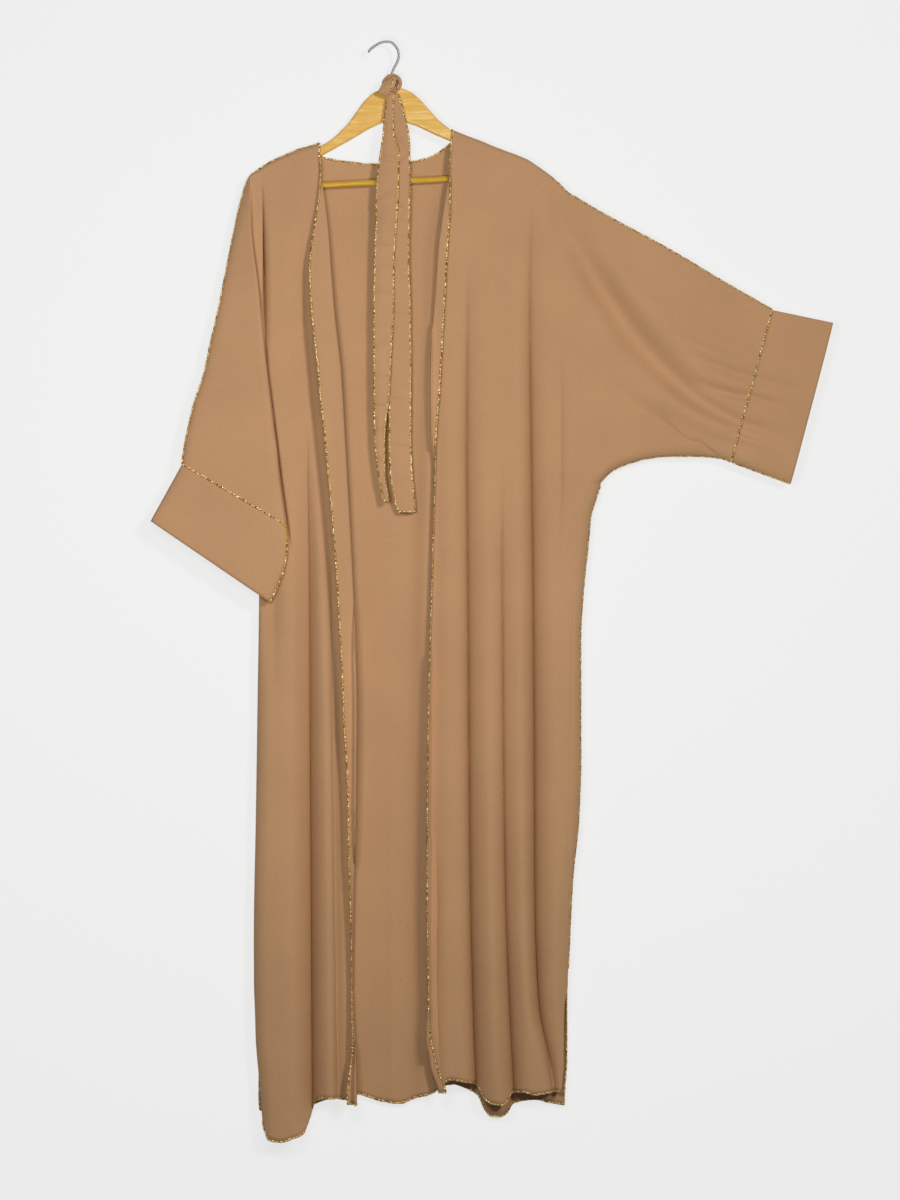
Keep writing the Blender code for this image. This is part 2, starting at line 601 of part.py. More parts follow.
def front_columns(side_table, edge_table, share, outward):
    """Across position of a front's column at any height: fold line to side, then round the side."""
    def across(j, down):
        fold_x = edge_table.read("fold_x", down)
        side_x = side_table.read("x", down)
        inner = len(share)
        if j < inner:
            return fold_x + (side_x - outward * SIDE_ROUND - fold_x) * share[j]
        return side_x - outward * SIDE_INSETS[j - inner + 1]
    return across


def build_front(outward, edge_table, side_table, hem_table, underarm, folds, creases):
    """Body grid of a front panel, from the turned-back edge to the side."""
    share = (0.0, 0.05, 0.12, 0.2, 0.28, 0.36, 0.44, 0.52, 0.6, 0.68, 0.76, 0.84, 0.92, 1.0)
    across = front_columns(side_table, edge_table, share, outward)
    count = len(share) + 3
    tops, mids, hems, near = [], [], [], []
    for j in range(count):
        top = 190.0
        for _ in range(12):
            top = float(SHOULDER.read("down", across(j, top)))
        tops.append(top)
        hems.append(float(hem_table.read("down", across(j, HEM_READ_AT))))
        to_side = ease(j / (count - 1))
        mids.append(UNDERARM_LEFT - 20 + (underarm - UNDERARM_LEFT + 20) * float(to_side))
        near.append(float(ease((j - count + 6) / 5)) if outward > 0 else 0.0)
    return place_rows(-1, across, tops, mids, hems, near, folds, creases)


def front_left():
    """The front that carries the held-out sleeve."""
    x, down, y = build_front(1, EDGE_LEFT, SIDE_LEFT, HEM_LEFT_FRONT, UNDERARM_LEFT,
                             FOLDS_FRONT_LEFT, CREASES_FRONT_LEFT)
    close_sides(x, down, y, 1, -1)
    sleeve = held_sleeve(-1, FOLDS_FRONT_LEFT, CREASES_FRONT_LEFT, (x[:, -1], down[:, -1], y[:, -1]))
    body = flap_columns(EDGE_LEFT, 1, x, down, y, FOLDS_FRONT_LEFT, CREASES_FRONT_LEFT)
    return body, sleeve


def front_right():
    """The front that carries the hanging sleeve."""
    x, down, y = build_front(-1, EDGE_RIGHT, SIDE_RIGHT, HEM_RIGHT_FRONT, UNDERARM_RIGHT,
                             FOLDS_FRONT_RIGHT, CREASES_FRONT_RIGHT)
    close_sides(x, down, y, -1, -1)
    sleeve = hanging_front((x[:, -1], down[:, -1], y[:, -1]))
    body = flap_columns(EDGE_RIGHT, -1, x, down, y, FOLDS_FRONT_RIGHT, CREASES_FRONT_RIGHT)
    return body, sleeve


def other_layer(side):
    """Depth function of the layer on the other side of a side seam."""
    folds = FOLDS_BACK if side < 0 else FOLDS_FRONT_RIGHT
    creases = CREASES_BACK if side < 0 else CREASES_FRONT_RIGHT
    return lambda x, down: layer_depth(-side, x, down, folds, creases)


def close_sides(x, down, y, outward, side):
    """Bring a body grid to the side seam: round the side below the underarm, and in to its point."""
    table = SIDE_LEFT if outward > 0 else SIDE_RIGHT
    underarm = UNDERARM_LEFT if outward > 0 else UNDERARM_RIGHT
    order = (-4, -3, -2, -1)
    if outward < 0 and side > 0:
        order = (3, 2, 1, 0)
    columns = [(column, share) for column, share in zip(order, SIDE_SHARES)]
    point_x = float(table.read("x", underarm))
    last = order[-1]
    if outward > 0:
        above = slice(ROLL_ROWS, UNDERARM_ROW)
        distance = np.hypot(x[above] - point_x, down[above] - underarm)
        near_side = ease(1 - np.abs(x[above] - point_x) / UNDERARM_REACH)
        tight = closing(distance, UNDERARM_ROUND)
        y[above] = y[above] * (tight * near_side + 1 - near_side)
    else:
        above = slice(UNDERARM_ROW - 2, UNDERARM_ROW)
        y[above, last] = y[above, last] * np.array(HANGING_DROP)
    layer = y[UNDERARM_ROW:].copy()
    wrap_side(x, down, y, table, outward, layer, other_layer(side), columns, side)
    open_slit(x, down, y, last, outward, side)


def back_panel():
    """The back with both sleeve halves: the body grid runs from one side seam to the other."""
    neck = (-107, -106.4, -105.8, -99, -84, -56, -20, 20, 56, 83, 98, 105.8, 106.4, 107)
    shoulder_right = (-184.5, -184, -181, -164, -144, -125)
    shoulder_left = (130, 158, 186, 216, 246, 272, 297, 310, 317, 319)
    top_x = list(shoulder_right) + list(neck) + list(shoulder_left)
    count = len(top_x)

    def across(j, down):
        right = float(SIDE_RIGHT.read("x", down))
        left = float(SIDE_LEFT.read("x", down))
        if j < 3:
            level = right + SIDE_INSETS[3 - j]
        elif j >= count - 3:
            level = left - SIDE_INSETS[j - (count - 4)]
        else:
            share = (j - 3) / (count - 7)
            level = right + SIDE_ROUND + (left - right - 2 * SIDE_ROUND) * share
        spread = ease((down - 150) / 480)
        return top_x[j] + (level - top_x[j]) * spread if 0 < j < count - 1 else level

    tops, mids, hems, near = [], [], [], []
    for j in range(count):
        inside = NECK_RIGHT < top_x[j] < NECK_LEFT
        line = NECKLINE if inside else SHOULDER
        tops.append(float(line.read("down", top_x[j])))
        mids.append(UNDERARM_RIGHT + (UNDERARM_LEFT - UNDERARM_RIGHT) * float(ease(j / (count - 1))))
        hems.append(float(HEM_BACK.read("down", across(j, HEM_READ_AT))))
        near.append(float(ease((j - count + 7) / 6)))
    x, down, y = place_rows(1, across, tops, mids, hems, near, FOLDS_BACK, CREASES_BACK)
    close_sides(x, down, y, 1, 1)
    close_sides(x, down, y, -1, 1)
    x[UNDERARM_ROW, 0] -= CROTCH_STEP
    held = held_sleeve(1, FOLDS_BACK, CREASES_BACK, (x[:, -1], down[:, -1], y[:, -1]))
    hung = hanging_back((x[:, 0], down[:, 0], y[:, 0]))
    return (x, down, y), held, hung


def cuff_grid(front_end, back_end, opening, fall):
    """A straight cuff: the sleeve end's own ring, carried to the ring of its opening."""
    ring = [np.concatenate((a, b[-2:0:-1])) for a, b in zip(front_end, back_end)]
    ring_x, ring_down, ring_y = ring
    span = np.array([front_end[0][-1] - ring_x[0], front_end[1][-1] - ring_down[0]])
    along = (ring_x - ring_x[0]) * span[0] + (ring_down - ring_down[0]) * span[1]
    half = int(np.argmax(along))
    share = np.clip(along / along[half], 0, 1)
    top = np.array(opening["top"], dtype=float)
    low = np.array(opening["bottom"], dtype=float)
    side = np.where(np.arange(len(ring_x)) <= half, -1.0, 1.0)
    side[[0, half]] = 0
    flat = np.sqrt(np.clip(1 - (2 * share - 1) ** 4, 0, 1))
    open_x = top[0] + (low[0] - top[0]) * share
    open_down = top[1] + (low[1] - top[1]) * share
    open_y = opening["middle_y"] + side * opening["half"] * flat
    lift = np.array(fall) / np.linalg.norm(fall) * CUFF_SEAM
    rows = []
    for k in range(CUFF_ROWS + 1):
        t = k / CUFF_ROWS
        rows.append((ring_x + lift[0] + (open_x - ring_x - lift[0]) * t,
                     ring_down + lift[1] + (open_down - ring_down - lift[1]) * t,
                     ring_y + (open_y - ring_y) * ease(t)))
    closed = [np.array([np.append(row[i], row[i][0]) for row in rows]) for i in range(3)]
    return tuple(closed)


def belt_strip(table, rows, bulge):
    """A hanging belt tail: a strip between its two edges, bowed a little towards the viewer."""
    down_line = np.linspace(table.rows[0, 0], table.rows[-1, 0], rows)
    across = np.linspace(0, 1, 5)
    left = table.read("left", down_line)[:, None]
    right = table.read("right", down_line)[:, None]
    middle = table.read("y", down_line)[:, None]
    x = left + (right - left) * across
    y = middle - bulge * (1 - (2 * across - 1) ** 2)
    down = np.broadcast_to(down_line[:, None], x.shape).copy()
    return x, down, y + np.zeros_like(x)


def bundle(name, table, material, collection):
    """Bunched belt cloth: oval sections along a path, across and deep, closed to a point at its ends."""
    mesh = bpy.data.meshes.new(name)
    build = bmesh.new()
    steps, about = 14, 12
    length = np.arange(len(table.rows), dtype=float)
    at = np.linspace(0, length[-1], steps)
    path = {key: smooth_through(length, table.column(key), at) for key in table.names}
    tangent_x = np.gradient(path["x"])
    tangent_z = np.gradient(-path["down"])
    size = np.hypot(tangent_x, tangent_z)
    rings = []
    for i in range(steps):
        side_x = -tangent_z[i] / size[i]
        side_z = tangent_x[i] / size[i]
        ring = []
        for j in range(about):
            angle = 2 * math.pi * j / about
            out = path["across"][i] * math.cos(angle)
            ring.append(build.verts.new((
                (path["x"][i] + side_x * out) * MM,
                (path["y"][i] + path["deep"][i] * math.sin(angle)) * MM,
                (-path["down"][i] + side_z * out) * MM)))
        rings.append(ring)
    for near, far in zip(rings, rings[1:]):
        for j in range(about):
            build.faces.new((near[j], far[j], far[(j + 1) % about], near[(j + 1) % about]))
    build.faces.new(rings[0])
    build.faces.new(rings[-1])
    bmesh.ops.recalc_face_normals(build, faces=build.faces)
    for face in build.faces:
        face.smooth = True
    build.to_mesh(mesh)
    build.free()
    return add_object(name, mesh, material, collection)


def bunched_ring(name, middle, radii, section, lean, material, collection):
    """A bunched loop of belt: an oval ring, wider than deep, that leans sideways round the wire."""
    mesh = bpy.data.meshes.new(name)
    build = bmesh.new()
    around, about = 24, 10
    rings = []
    for i in range(around):
        turn = 2 * math.pi * i / around
        thick = 1 + 0.18 * math.sin(3 * turn + 0.6)
        ring = []
        for j in range(about):
            angle = 2 * math.pi * j / about
            reach = 1 + section[0] / radii[0] * 0.5 * (1 + math.cos(angle)) * thick
            x = radii[0] * reach * math.cos(turn)
            y = radii[1] * (1 + section[0] / radii[1] * 0.5 * (1 + math.cos(angle)) * thick) * math.sin(turn)
            z = section[1] * 0.5 * math.sin(angle) * thick + lean * x
            ring.append(build.verts.new(((middle[0] + x) * MM, (middle[1] + y) * MM, (middle[2] + z) * MM)))
        rings.append(ring)
    for i in range(around):
        for j in range(about):
            a, b = rings[i], rings[(i + 1) % around]
            build.faces.new((a[j], b[j], b[(j + 1) % about], a[(j + 1) % about]))
    bmesh.ops.recalc_face_normals(build, faces=build.faces)
    for face in build.faces:
        face.smooth = True
    build.to_mesh(mesh)
    build.free()
    return add_object(name, mesh, material, collection)


def hanger_point(across, drop):
    """A point of the hanger's own frame, crown at its middle, tilted as it hangs: x and z in mm."""
    x = HANGER_TOP[0] + across * math.cos(HANGER_TILT) + drop * math.sin(HANGER_TILT)
    z = HANGER_TOP[1] + across * math.sin(HANGER_TILT) - drop * math.cos(HANGER_TILT)
    return x, z


def add_hanger(wood, collection):
    """The flat wooden shape with rounded edges, and the dowel bar between its ends."""
    half = list(WOOD_OUTLINE.rows)
    outline = half + [(-across, drop) for across, drop in half[-2:0:-1]]
    data = bpy.data.curves.new("hanger_wood", "CURVE")
    data.dimensions = "2D"
    data.fill_mode = "BOTH"
    data.extrude = (WOOD_THICK / 2 - WOOD_BEVEL) * MM
    data.bevel_depth = WOOD_BEVEL * MM
    data.bevel_resolution = 1
    data.offset = -WOOD_BEVEL * MM
    spline = data.splines.new("POLY")
    spline.points.add(len(outline) - 1)
    for point, (across, drop) in zip(spline.points, outline):
        point.co = (across * MM, -drop * MM, 0, 1)
    spline.use_cyclic_u = True
    shape = add_object("hanger_wood", data, wood, collection)
    shape.location = (HANGER_TOP[0] * MM, 0, HANGER_TOP[1] * MM)
    shape.rotation_mode = "XYZ"
    shape.rotation_euler = (math.pi / 2, -HANGER_TILT, 0)
    bar = bpy.data.curves.new("hanger_bar", "CURVE")
    bar.dimensions = "3D"
    bar.bevel_depth = BAR_RADIUS * MM
    bar.bevel_resolution = 2
    bar.use_fill_caps = True
    line = bar.splines.new("POLY")
    line.points.add(1)
    for point, across in zip(line.points, (-BAR_HALF, BAR_HALF)):
        x, z = hanger_point(across, BAR_DROP)
        point.co = (x * MM, 0, z * MM, 1)
    add_object("hanger_bar", bar, wood, collection)


def add_hook(chrome, collection):
    """The wire hook, one smooth round wire from its tip to the crown."""
    table_x = HOOK.column("x")
    table_down = HOOK.column("down")
    length = np.concatenate(([0], np.cumsum(np.hypot(np.diff(table_x), np.diff(table_down)))))
    at = np.linspace(0, length[-1], 34)
    wire_x = smooth_through(length, table_x, at)
    wire_down = smooth_through(length, table_down, at)
    data = bpy.data.curves.new("hanger_hook", "CURVE")
    data.dimensions = "3D"
    data.bevel_depth = WIRE_RADIUS * MM
    data.bevel_resolution = 2
    data.use_fill_caps = True
    spline = data.splines.new("POLY")
    spline.points.add(len(at) - 1)
    for point, x, down in zip(spline.points, wire_x, wire_down):
        point.co = (x * MM, 0, -down * MM, 1)
    add_object("hanger_hook", data, chrome, collection)


def make_material(name, colour, roughness, metallic=0.0):
    material = bpy.data.materials.new(name)
    material.use_nodes = True
    shader = material.node_tree.nodes["Principled BSDF"]
    shader.inputs["Base Color"].default_value = (*colour, 1)
    shader.inputs["Roughness"].default_value = roughness
    shader.inputs["Metallic"].default_value = metallic
    return material


def main():
    for thing in list(bpy.data.objects):
        bpy.data.objects.remove(thing, do_unlink=True)
    collection = bpy.data.collections.new("kimono_on_hanger")
    bpy.context.scene.collection.children.link(collection)
    crepe = make_material("crepe", (0.42, 0.26, 0.15), 0.8)
    wood = make_material("varnished_wood", (0.72, 0.42, 0.12), 0.35)
    chrome = make_material("chrome", (0.8, 0.8, 0.82), 0.12, 1.0)

    left_body, left_sleeve = front_left()
    right_body, right_sleeve = front_right()
    back_body, back_held, back_hung = back_panel()
    add_cloth("front_left", (left_body, left_sleeve), crepe, collection)
    add_cloth("front_right", (right_body, right_sleeve), crepe, collection)
    add_cloth("back", (back_body, back_held, back_hung), crepe, collection)

    left_ring = [grid[:, -1] for grid in left_sleeve], [grid[:, -1] for grid in back_held]
    right_ring = [grid[-1, ::-1] for grid in right_sleeve], [grid[-1, ::-1] for grid in back_hung]
    add_cloth("cuff_left", [cuff_grid(*left_ring, CUFF_LEFT_OPENING, (91, 15))], crepe, collection)
    add_cloth("cuff_right", [cuff_grid(*right_ring, CUFF_RIGHT_OPENING, (-32, 70))], crepe, collection)

    add_cloth("belt_tail_front", [belt_strip(BELT_FRONT, 26, BELT_BULGE)], crepe, collection, BELT_CLOTH)
    add_cloth("belt_tail_back", [belt_strip(BELT_BACK, 24, BELT_BULGE * 0.5)], crepe, collection, BELT_CLOTH)
    bunched_ring("belt_loop", (9.15, 0, -55.5), (2.3, 2.3), (10.2, 12.0), 0.12, crepe, collection)
    bundle("belt_wrap", BELT_WRAP, crepe, collection)
    add_hanger(wood, collection)
    add_hook(chrome, collection)


main()
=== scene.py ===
"""Looks of a camel crepe robe with metallic overlocked edges, hung on a varnished wooden hanger.

Metres at the end, millimetres in the tables: x to the right, down below the hook's inner top, y towards
the wall. Left and right in names are the wearer's: the left sleeve is held out (+X), the right one hangs.
Every cloth piece is a grid of points, rows from the shoulder to the hem and columns across, worked out as
whole arrays. A grid is a tuple (x, down, y).
"""
import math

import bmesh
import bpy
import numpy as np
from mathutils import Matrix


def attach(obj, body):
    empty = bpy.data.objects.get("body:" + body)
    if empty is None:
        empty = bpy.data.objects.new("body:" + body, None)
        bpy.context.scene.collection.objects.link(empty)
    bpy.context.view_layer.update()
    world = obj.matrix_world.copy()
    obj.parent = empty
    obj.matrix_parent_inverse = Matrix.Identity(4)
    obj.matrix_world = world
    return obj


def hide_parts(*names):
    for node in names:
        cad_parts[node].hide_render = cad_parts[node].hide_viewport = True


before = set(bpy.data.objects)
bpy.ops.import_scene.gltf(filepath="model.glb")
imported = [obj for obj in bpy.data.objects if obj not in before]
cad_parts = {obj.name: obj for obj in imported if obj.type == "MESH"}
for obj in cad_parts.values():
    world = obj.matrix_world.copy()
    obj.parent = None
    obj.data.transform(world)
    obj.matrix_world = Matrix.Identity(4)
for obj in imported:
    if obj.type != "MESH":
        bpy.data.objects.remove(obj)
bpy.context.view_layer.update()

MM = 0.001
TINY, LEAST_STEP = 1e-9, 1e-6
BODY = "root"

# Sizes of the cloth, the same as the solids have
SEAM_HALF = 0.5
CUFF_SEAM = 0.9
CROTCH_STEP = 1.6
UNDERARM_ROW = 12
CUFF_ROW = 16
HEM_ROW = 27
ROLL_ROWS = 3
ROLL_DEGREES = (0.0, 22.0, 55.0, 90.0)
SIDE_ROUND = 22.0
UNDERARM_ROUND = 16.0
OUTER_ROUND = 12.0
HELD_TOP = (319.0, 581.0)
HELD_LOW = (322.5, 519.0)
HELD_FLATTENS = 1.6
HELD_JOIN = 0.1
SLEEVE_HALF_DEPTH = 11.0
SHOULDER_BLEND = 150.0
EMPTY_ROLL = 4.5
WOOD_ROLL = 8.3
WOOD_REACH = 252.0
ROLL_FADE = 30.0
CURL_RADIUS = 2.6
UNDERARM_RIGHT = 580.0
UNDERARM_LEFT = 659.0
SLIT_TOP = 1410.0
SLIT_OPEN = 10.0
SLIT_LAP = 9.0
SLIT_FADE = 60.0
FOLDS_START = 330.0
FOLDS_FULL = 1500.0
FOLDS_FADE = 130.0
HANGER_TOP = (9.0, -66.0)
HANGER_TILT = math.radians(2.9)
WOOD_THICK = 12.0
BAR_RADIUS = 4.8
BAR_DROP = 142.0
BAR_HALF = 189.6
WIRE_RADIUS = 1.9

# The shoulder seam lies behind the top by this angle between two places, eased over a stretch at each
SEAM_BEHIND_DEGREES = 32.0
SEAM_BEHIND_STARTS, SEAM_BEHIND_ENDS = (0.0, 40.0), (285.0, 60.0)

# What the eye sees of the crepe: a thin shell, meshed finely
CREPE_WALL = 0.7
WELD = 0.004
COLUMN_STEP = 4.6
BACK_STEP = 5.2
SLEEVE_COLUMNS = 56
CUFF_ROWS = 24

# Creases: the cusp and the breadth of a valley, how it leans, and how it draws the columns together
CUSP = 0.045
BROAD = 0.9
LEAN = 0.1
LEAN_REACH = 3.0
GATHER_REACH = 300.0
GATHER_HALF = 20.0
GATHERED = 0.72
GATHER_FADE = 12

# The turned-back strips of the fronts: how much they lift, from where down and over what, and their slant
FLAP_LIFT_RIGHT = 15.0
FLAP_LIFT_LEFT = 1.5
FLAP_TILT = 0.35
FLAP_WIDE = 18.0
LIFT_FROM, LIFT_FADE = 200.0, 260.0
SLOPE_TO, SLOPE_FADE = 330.0, 120.0
CURL_STEPS, FLAT_STEPS = 13, 8

# Overlock thread: sizes and stitches, whose phase, size and place wander (how much, at what pitch)
THREAD_HALF = 1.6
THREAD_THICK = 0.95
SEAM_THREAD_THICK = 2.1
SEAM_EDGINGS = ("edging_shoulders", "edging_sides")
THREAD_STEP = 0.8
THREAD_SIDES = 8
THREAD_END = 1.2
THREAD_TIP = 0.0004
THREAD_SHIFT = 0.4
KNOT_THREAD = 0.9
STITCH_PITCH = 2.1
STITCH_SWELL = 0.13
THREAD_WANDERS = ((1.5, 15), (0.12, 4), (0.25, 7))
THREAD_SEED = 11

# The belt's tails
BELT_SEED = 5
BELT_STEP = 2.0
BELT_COLUMNS = 17
BELT_BULGE = 3.0
BELT_TWIST = (0.5, 26)
PUCKER_HALF = 3.6
PUCKER_HEIGHT = 1.35
PUCKER_SLANT = 9.0
PUCKER_ROUND = 0.45

# The knot: the loop round the hook's neck, and in front of it a bow and a small curl that face the viewer
LOOP_MIDDLE = np.array((9.15, 0, -57.6))
LOOP_HOLE = 2.3
LOOP_WIDE = 10.2
LOOP_TALL = 16.0
LOOP_LEAN = 0.12
LOOP_FLAT = 0.74
LOOP_UNEVEN, LOOP_PHASE = 0.18, 0.6
BOW_MIDDLE = np.array((10.5, -8.0, -62.5))
BOW_RADII = (12.6, 1.0, 12.4)
BOW_WIDE = 2.5
BOW_DEEP = 4.5
BOW_UNEVEN = 0.2
BOW_RIM = slice(8, 66)
CURL_MIDDLE = np.array((12.2, -19.0, -71.0))
CURL_RADII = (3.6, 1.0, 4.0)
CURL_WIDE = 1.3
CURL_DEEP = 2.6
KNOT_STEPS = 73
WRAP_STEPS = 33

# The hanger's smooth outlines
WOOD_POINTS = 420
WOOD_SMOOTHING = 3
WOOD_ROUND = 4.5
WOOD_ROUND_STEPS = 5
BAR_STEPS, BAR_SIDES = 12, 24
WIRE_STEPS, WIRE_SIDES = 90, 16
WIRE_SMOOTHING = 14
WIRE_TIP = 0.05

# Colours and tones, the stage, and the lights: name, place, target, size, power, colour
CREPE_COLOUR = (0.492, 0.307, 0.175)
CREPE_SHADES = ((0.42, 0.88), (0.98, 1.1))
# The thread's tones: its own uneven dark-to-gold tone, and near-white top cells that are painted glints of
# its glitter
THREAD_TONES_AND_GLINTS = ((0.0, (0.2, 0.1, 0.02)), (0.45, (0.44, 0.23, 0.045)), (0.68, (0.78, 0.5, 0.13)),
                (0.8, (1.0, 0.9, 0.56)))
WOOD_TONES = ((0.7, 0.43, 0.09), (0.82, 0.56, 0.17), (0.93, 0.75, 0.4))
BAR_TONES = ((0.5, 0.29, 0.03), (0.64, 0.41, 0.05), (0.74, 0.5, 0.09))
TONE_PLACES = (0.3, 0.55, 0.75)
WIRE_COLOUR = (0.42, 0.45, 0.5, 1)
WALL_COLOUR = (0.14, 0.157, 0.182, 1)
WALL_GLOW = (0.742, 0.742, 0.738, 1)
WALL_Y = 0.022
WALL_CORNERS = [(-4, WALL_Y, -3), (4, WALL_Y, -3), (4, WALL_Y, 2.5), (-4, WALL_Y, 2.5)]
WORLD_COLOUR = (1.0, 1.0, 1.0, 1)
WORLD_STRENGTH = 0.09
LIGHTS = [
    ("front", (-0.2, -1.6, -0.6), (-0.2, 0, -0.65), (0.5, 0.45), 14, (1.0, 0.9, 0.8)),
    ("key", (2.0, -4.0, 0.6), (-0.2, 0, 0.0), (0.75, 0.75), 94, (1.0, 0.88, 0.75))]
CAMERA_PLACE = (0.0975, -5.0, -0.8355)
CAMERA_LENS = 100


def smooth_through(knots, values, at):
    """Cubic through the knots along the first axis, its slopes held back so that it never overshoots."""
    knots, values = np.asarray(knots, dtype=float), np.asarray(values, dtype=float)
    more = (1,) * (values.ndim - 1)
    step = np.diff(knots)
    slope = np.diff(values, axis=0) / step.reshape(-1, *more)
    product, total = slope[:-1] * slope[1:], slope[:-1] + slope[1:]
    inner = np.where(product > 0, 2 * product / np.where(product > 0, total, 1), 0)
    tangent = np.concatenate((slope[:1], inner, slope[-1:]))
    at = np.clip(at, knots[0], knots[-1])
    span = np.clip(np.searchsorted(knots, at) - 1, 0, len(step) - 1)
    t = np.reshape((at - knots[span]) / step[span], np.shape(at) + more)
    width = np.reshape(step[span], np.shape(at) + more)
    start = values[span] * (1 + 2 * t) * (1 - t) ** 2 + tangent[span] * width * t * (1 - t) ** 2
    end = values[span + 1] * t * t * (3 - 2 * t) - tangent[span + 1] * width * t * t * (1 - t)
    return start + end


class Table:
    """Rows of sizes in mm under named columns, each column a smooth curve against the first one."""

    def __init__(self, names, rows):
        self.names = names.split()
        self.rows = np.array(rows, dtype=float)

    def read(self, name, at):
        return smooth_through(self.rows[:, 0], self.rows[:, self.names.index(name)], at)


def ease(value):
    """Smooth step from 0 to 1."""
    t = np.clip(value, 0, 1)
    return t * t * (3 - 2 * t)


# The outline along the top, which is the shoulder and overarm seam of each side
SHOULDER = Table("x down", [
    (-206, 207), (-200, 197.5), (-184, 186.8), (-166, 176.3), (-148, 168.5), (-130, 160.5), (-106, 154),
    (-60, 128), (9, 100), (70, 117), (106, 132.6), (119, 138), (143, 147), (167, 157), (191, 166),
    (215, 176), (227, 184), (239, 193), (251, 203), (263, 214), (275, 226), (287, 233), (319, 252),
    (361, 275), (402, 297), (453, 326), (501, 355), (555, 386), (581, 401)])
NECKLINE = Table("x down", [
    (-106.4, 158), (-105.8, 164), (-99, 168), (-86, 173), (-51, 178), (-20, 181), (10, 180), (40, 177),
    (64, 172), (83, 162), (98, 150), (105.8, 143), (106.4, 137.5)])
NECK_RIGHT = -106.7
NECK_LEFT = 106.7
NECK_DROP = 3.0
LEAST_DOWN = 0.01

# Front edges: where the cloth turns back over itself, how much is turned and through what angle
EDGE_RIGHT = Table("down fold_x turned angle", [
    (150, -101, 5, 0), (170, -101, 5, 20), (205, -98, 6, 95), (228, -94, 9, 150), (264, -89, 18, 178),
    (303, -85, 27, 180), (343, -82, 33, 180), (412, -76, 35, 180), (493, -67, 35, 180),
    (609, -60, 30, 180), (717, -54, 26, 180), (873, -46.5, 23, 180), (995, -43, 21, 180),
    (1110, -44, 14, 176), (1198, -46, 11, 172), (1284, -49, 8, 140), (1405, -50, 7, 110),
    (1509, -46, 8, 140), (1567, -44, 14, 176), (1620, -44, 15, 176)])
EDGE_LEFT = Table("down fold_x turned angle", [
    (130, 104, 5, 0), (150, 103.5, 5, 15), (197, 99, 6, 100), (222, 95, 7.5, 150), (260, 89, 11, 176),
    (303, 83, 14, 178), (358, 79, 15, 180), (457, 72, 16.5, 180), (505, 70.5, 15.5, 178),
    (562, 71, 11, 172), (609, 73, 7.5, 150), (643, 75.5, 6, 115), (780, 73, 6, 95), (957, 68, 6, 95),
    (1165, 65, 6, 100), (1291, 64, 6, 110), (1422, 66, 6, 110), (1479, 64.5, 8, 150), (1534, 71, 11, 176),
    (1567, 82, 12, 178), (1600, 86, 12, 178)])

# Sides: the right one hangs behind the sleeve, and its seam lies behind the fold lower down
SIDE_RIGHT = Table("down x seam_degrees", [
    (186, -184.5, 0), (300, -184, 0), (430, -185, 0), (580, -188, 0), (660, -188.5, -20),
    (800, -188.5, -60), (1000, -191, -70), (1165, -193.5, -70), (1345, -196.5, -70), (1480, -195.5, -60),
    (1560, -191, -20), (1620, -188, 0)])
SIDE_LEFT = Table("down x seam_degrees", [
    (130, 319, 0), (252, 319, 0), (450, 321, 0), (659, 322.5, 0), (682, 316, 0), (712, 307.5, 0),
    (745, 304.5, 0), (835, 295.5, 0), (895, 292.5, 0), (1075, 292.5, 0), (1165, 289.5, 0),
    (1255, 280.5, 0), (1345, 276, 0), (1435, 273, 0), (1525, 273, 0), (1570, 270, 0), (1620, 268, 0)])

# Hem heights across each panel
HEM_RIGHT_FRONT = Table("x down", [
    (-193, 1608), (-184, 1628), (-176, 1642), (-158, 1645), (-142, 1641), (-125, 1632), (-113, 1610),
    (-104, 1586), (-92, 1581), (-74, 1581), (-62, 1584), (-44, 1588)])
HEM_LEFT_FRONT = Table("x down", [
    (82, 1572), (92, 1558), (106, 1553), (123, 1556), (137, 1561), (149, 1582), (159, 1588), (178, 1590),
    (190, 1574), (208, 1571), (224, 1575), (243, 1573), (260, 1572)])
HEM_BACK = Table("x down", [
    (-195, 1600), (-150, 1612), (-100, 1590), (-44, 1578), (-7, 1588), (22, 1592), (44, 1584), (70, 1577),
    (94, 1563), (107, 1565), (122, 1570), (140, 1580), (151, 1602), (160, 1611), (174, 1612), (185, 1605),
    (193, 1592), (212, 1588), (229, 1587), (246, 1591), (270, 1594)])

# Depth of each layer and its hanging folds: y is towards the viewer where negative
LAYERS = Table("down front back", [
    (130, -8, 8), (240, -9, 8.5), (300, -9.5, 8.5), (600, -15, 10), (1000, -21.5, 11), (1550, -25, 13)])
FOLDS_FRONT_RIGHT = Table("x_high x_low y_high y_low", [
    (-190, -194, 3, 3), (-150, -150, 2, -1), (-112, -110, 2, 1), (-92, -88, -0.5, 1), (-46, -44, 6, 16)])
FOLDS_FRONT_LEFT = Table("x_high x_low y_high y_low", [
    (72, 66, 6, 13), (97, 98, 1, 6), (124, 132, 0.5, 0.5), (150, 158, -1, -1), (176, 186, 0, 0),
    (198, 208, -1, -1), (219, 230, 0.5, 0.5), (255, 256, -1, 0), (294, 272, 0, 4)])
FOLDS_BACK = Table("x_high x_low y_high y_low", [
    (-190, -194, 0, 0), (-150, -155, -1, -4), (-98, -98, 2, 4), (-52, -48, -2, -3.5), (5, 8, -2.5, -4),
    (62, 60, -2, -3.5), (100, 106, 2, 4), (160, 166, -2, -5), (205, 208, 1, 3), (294, 272, 0, 0)])

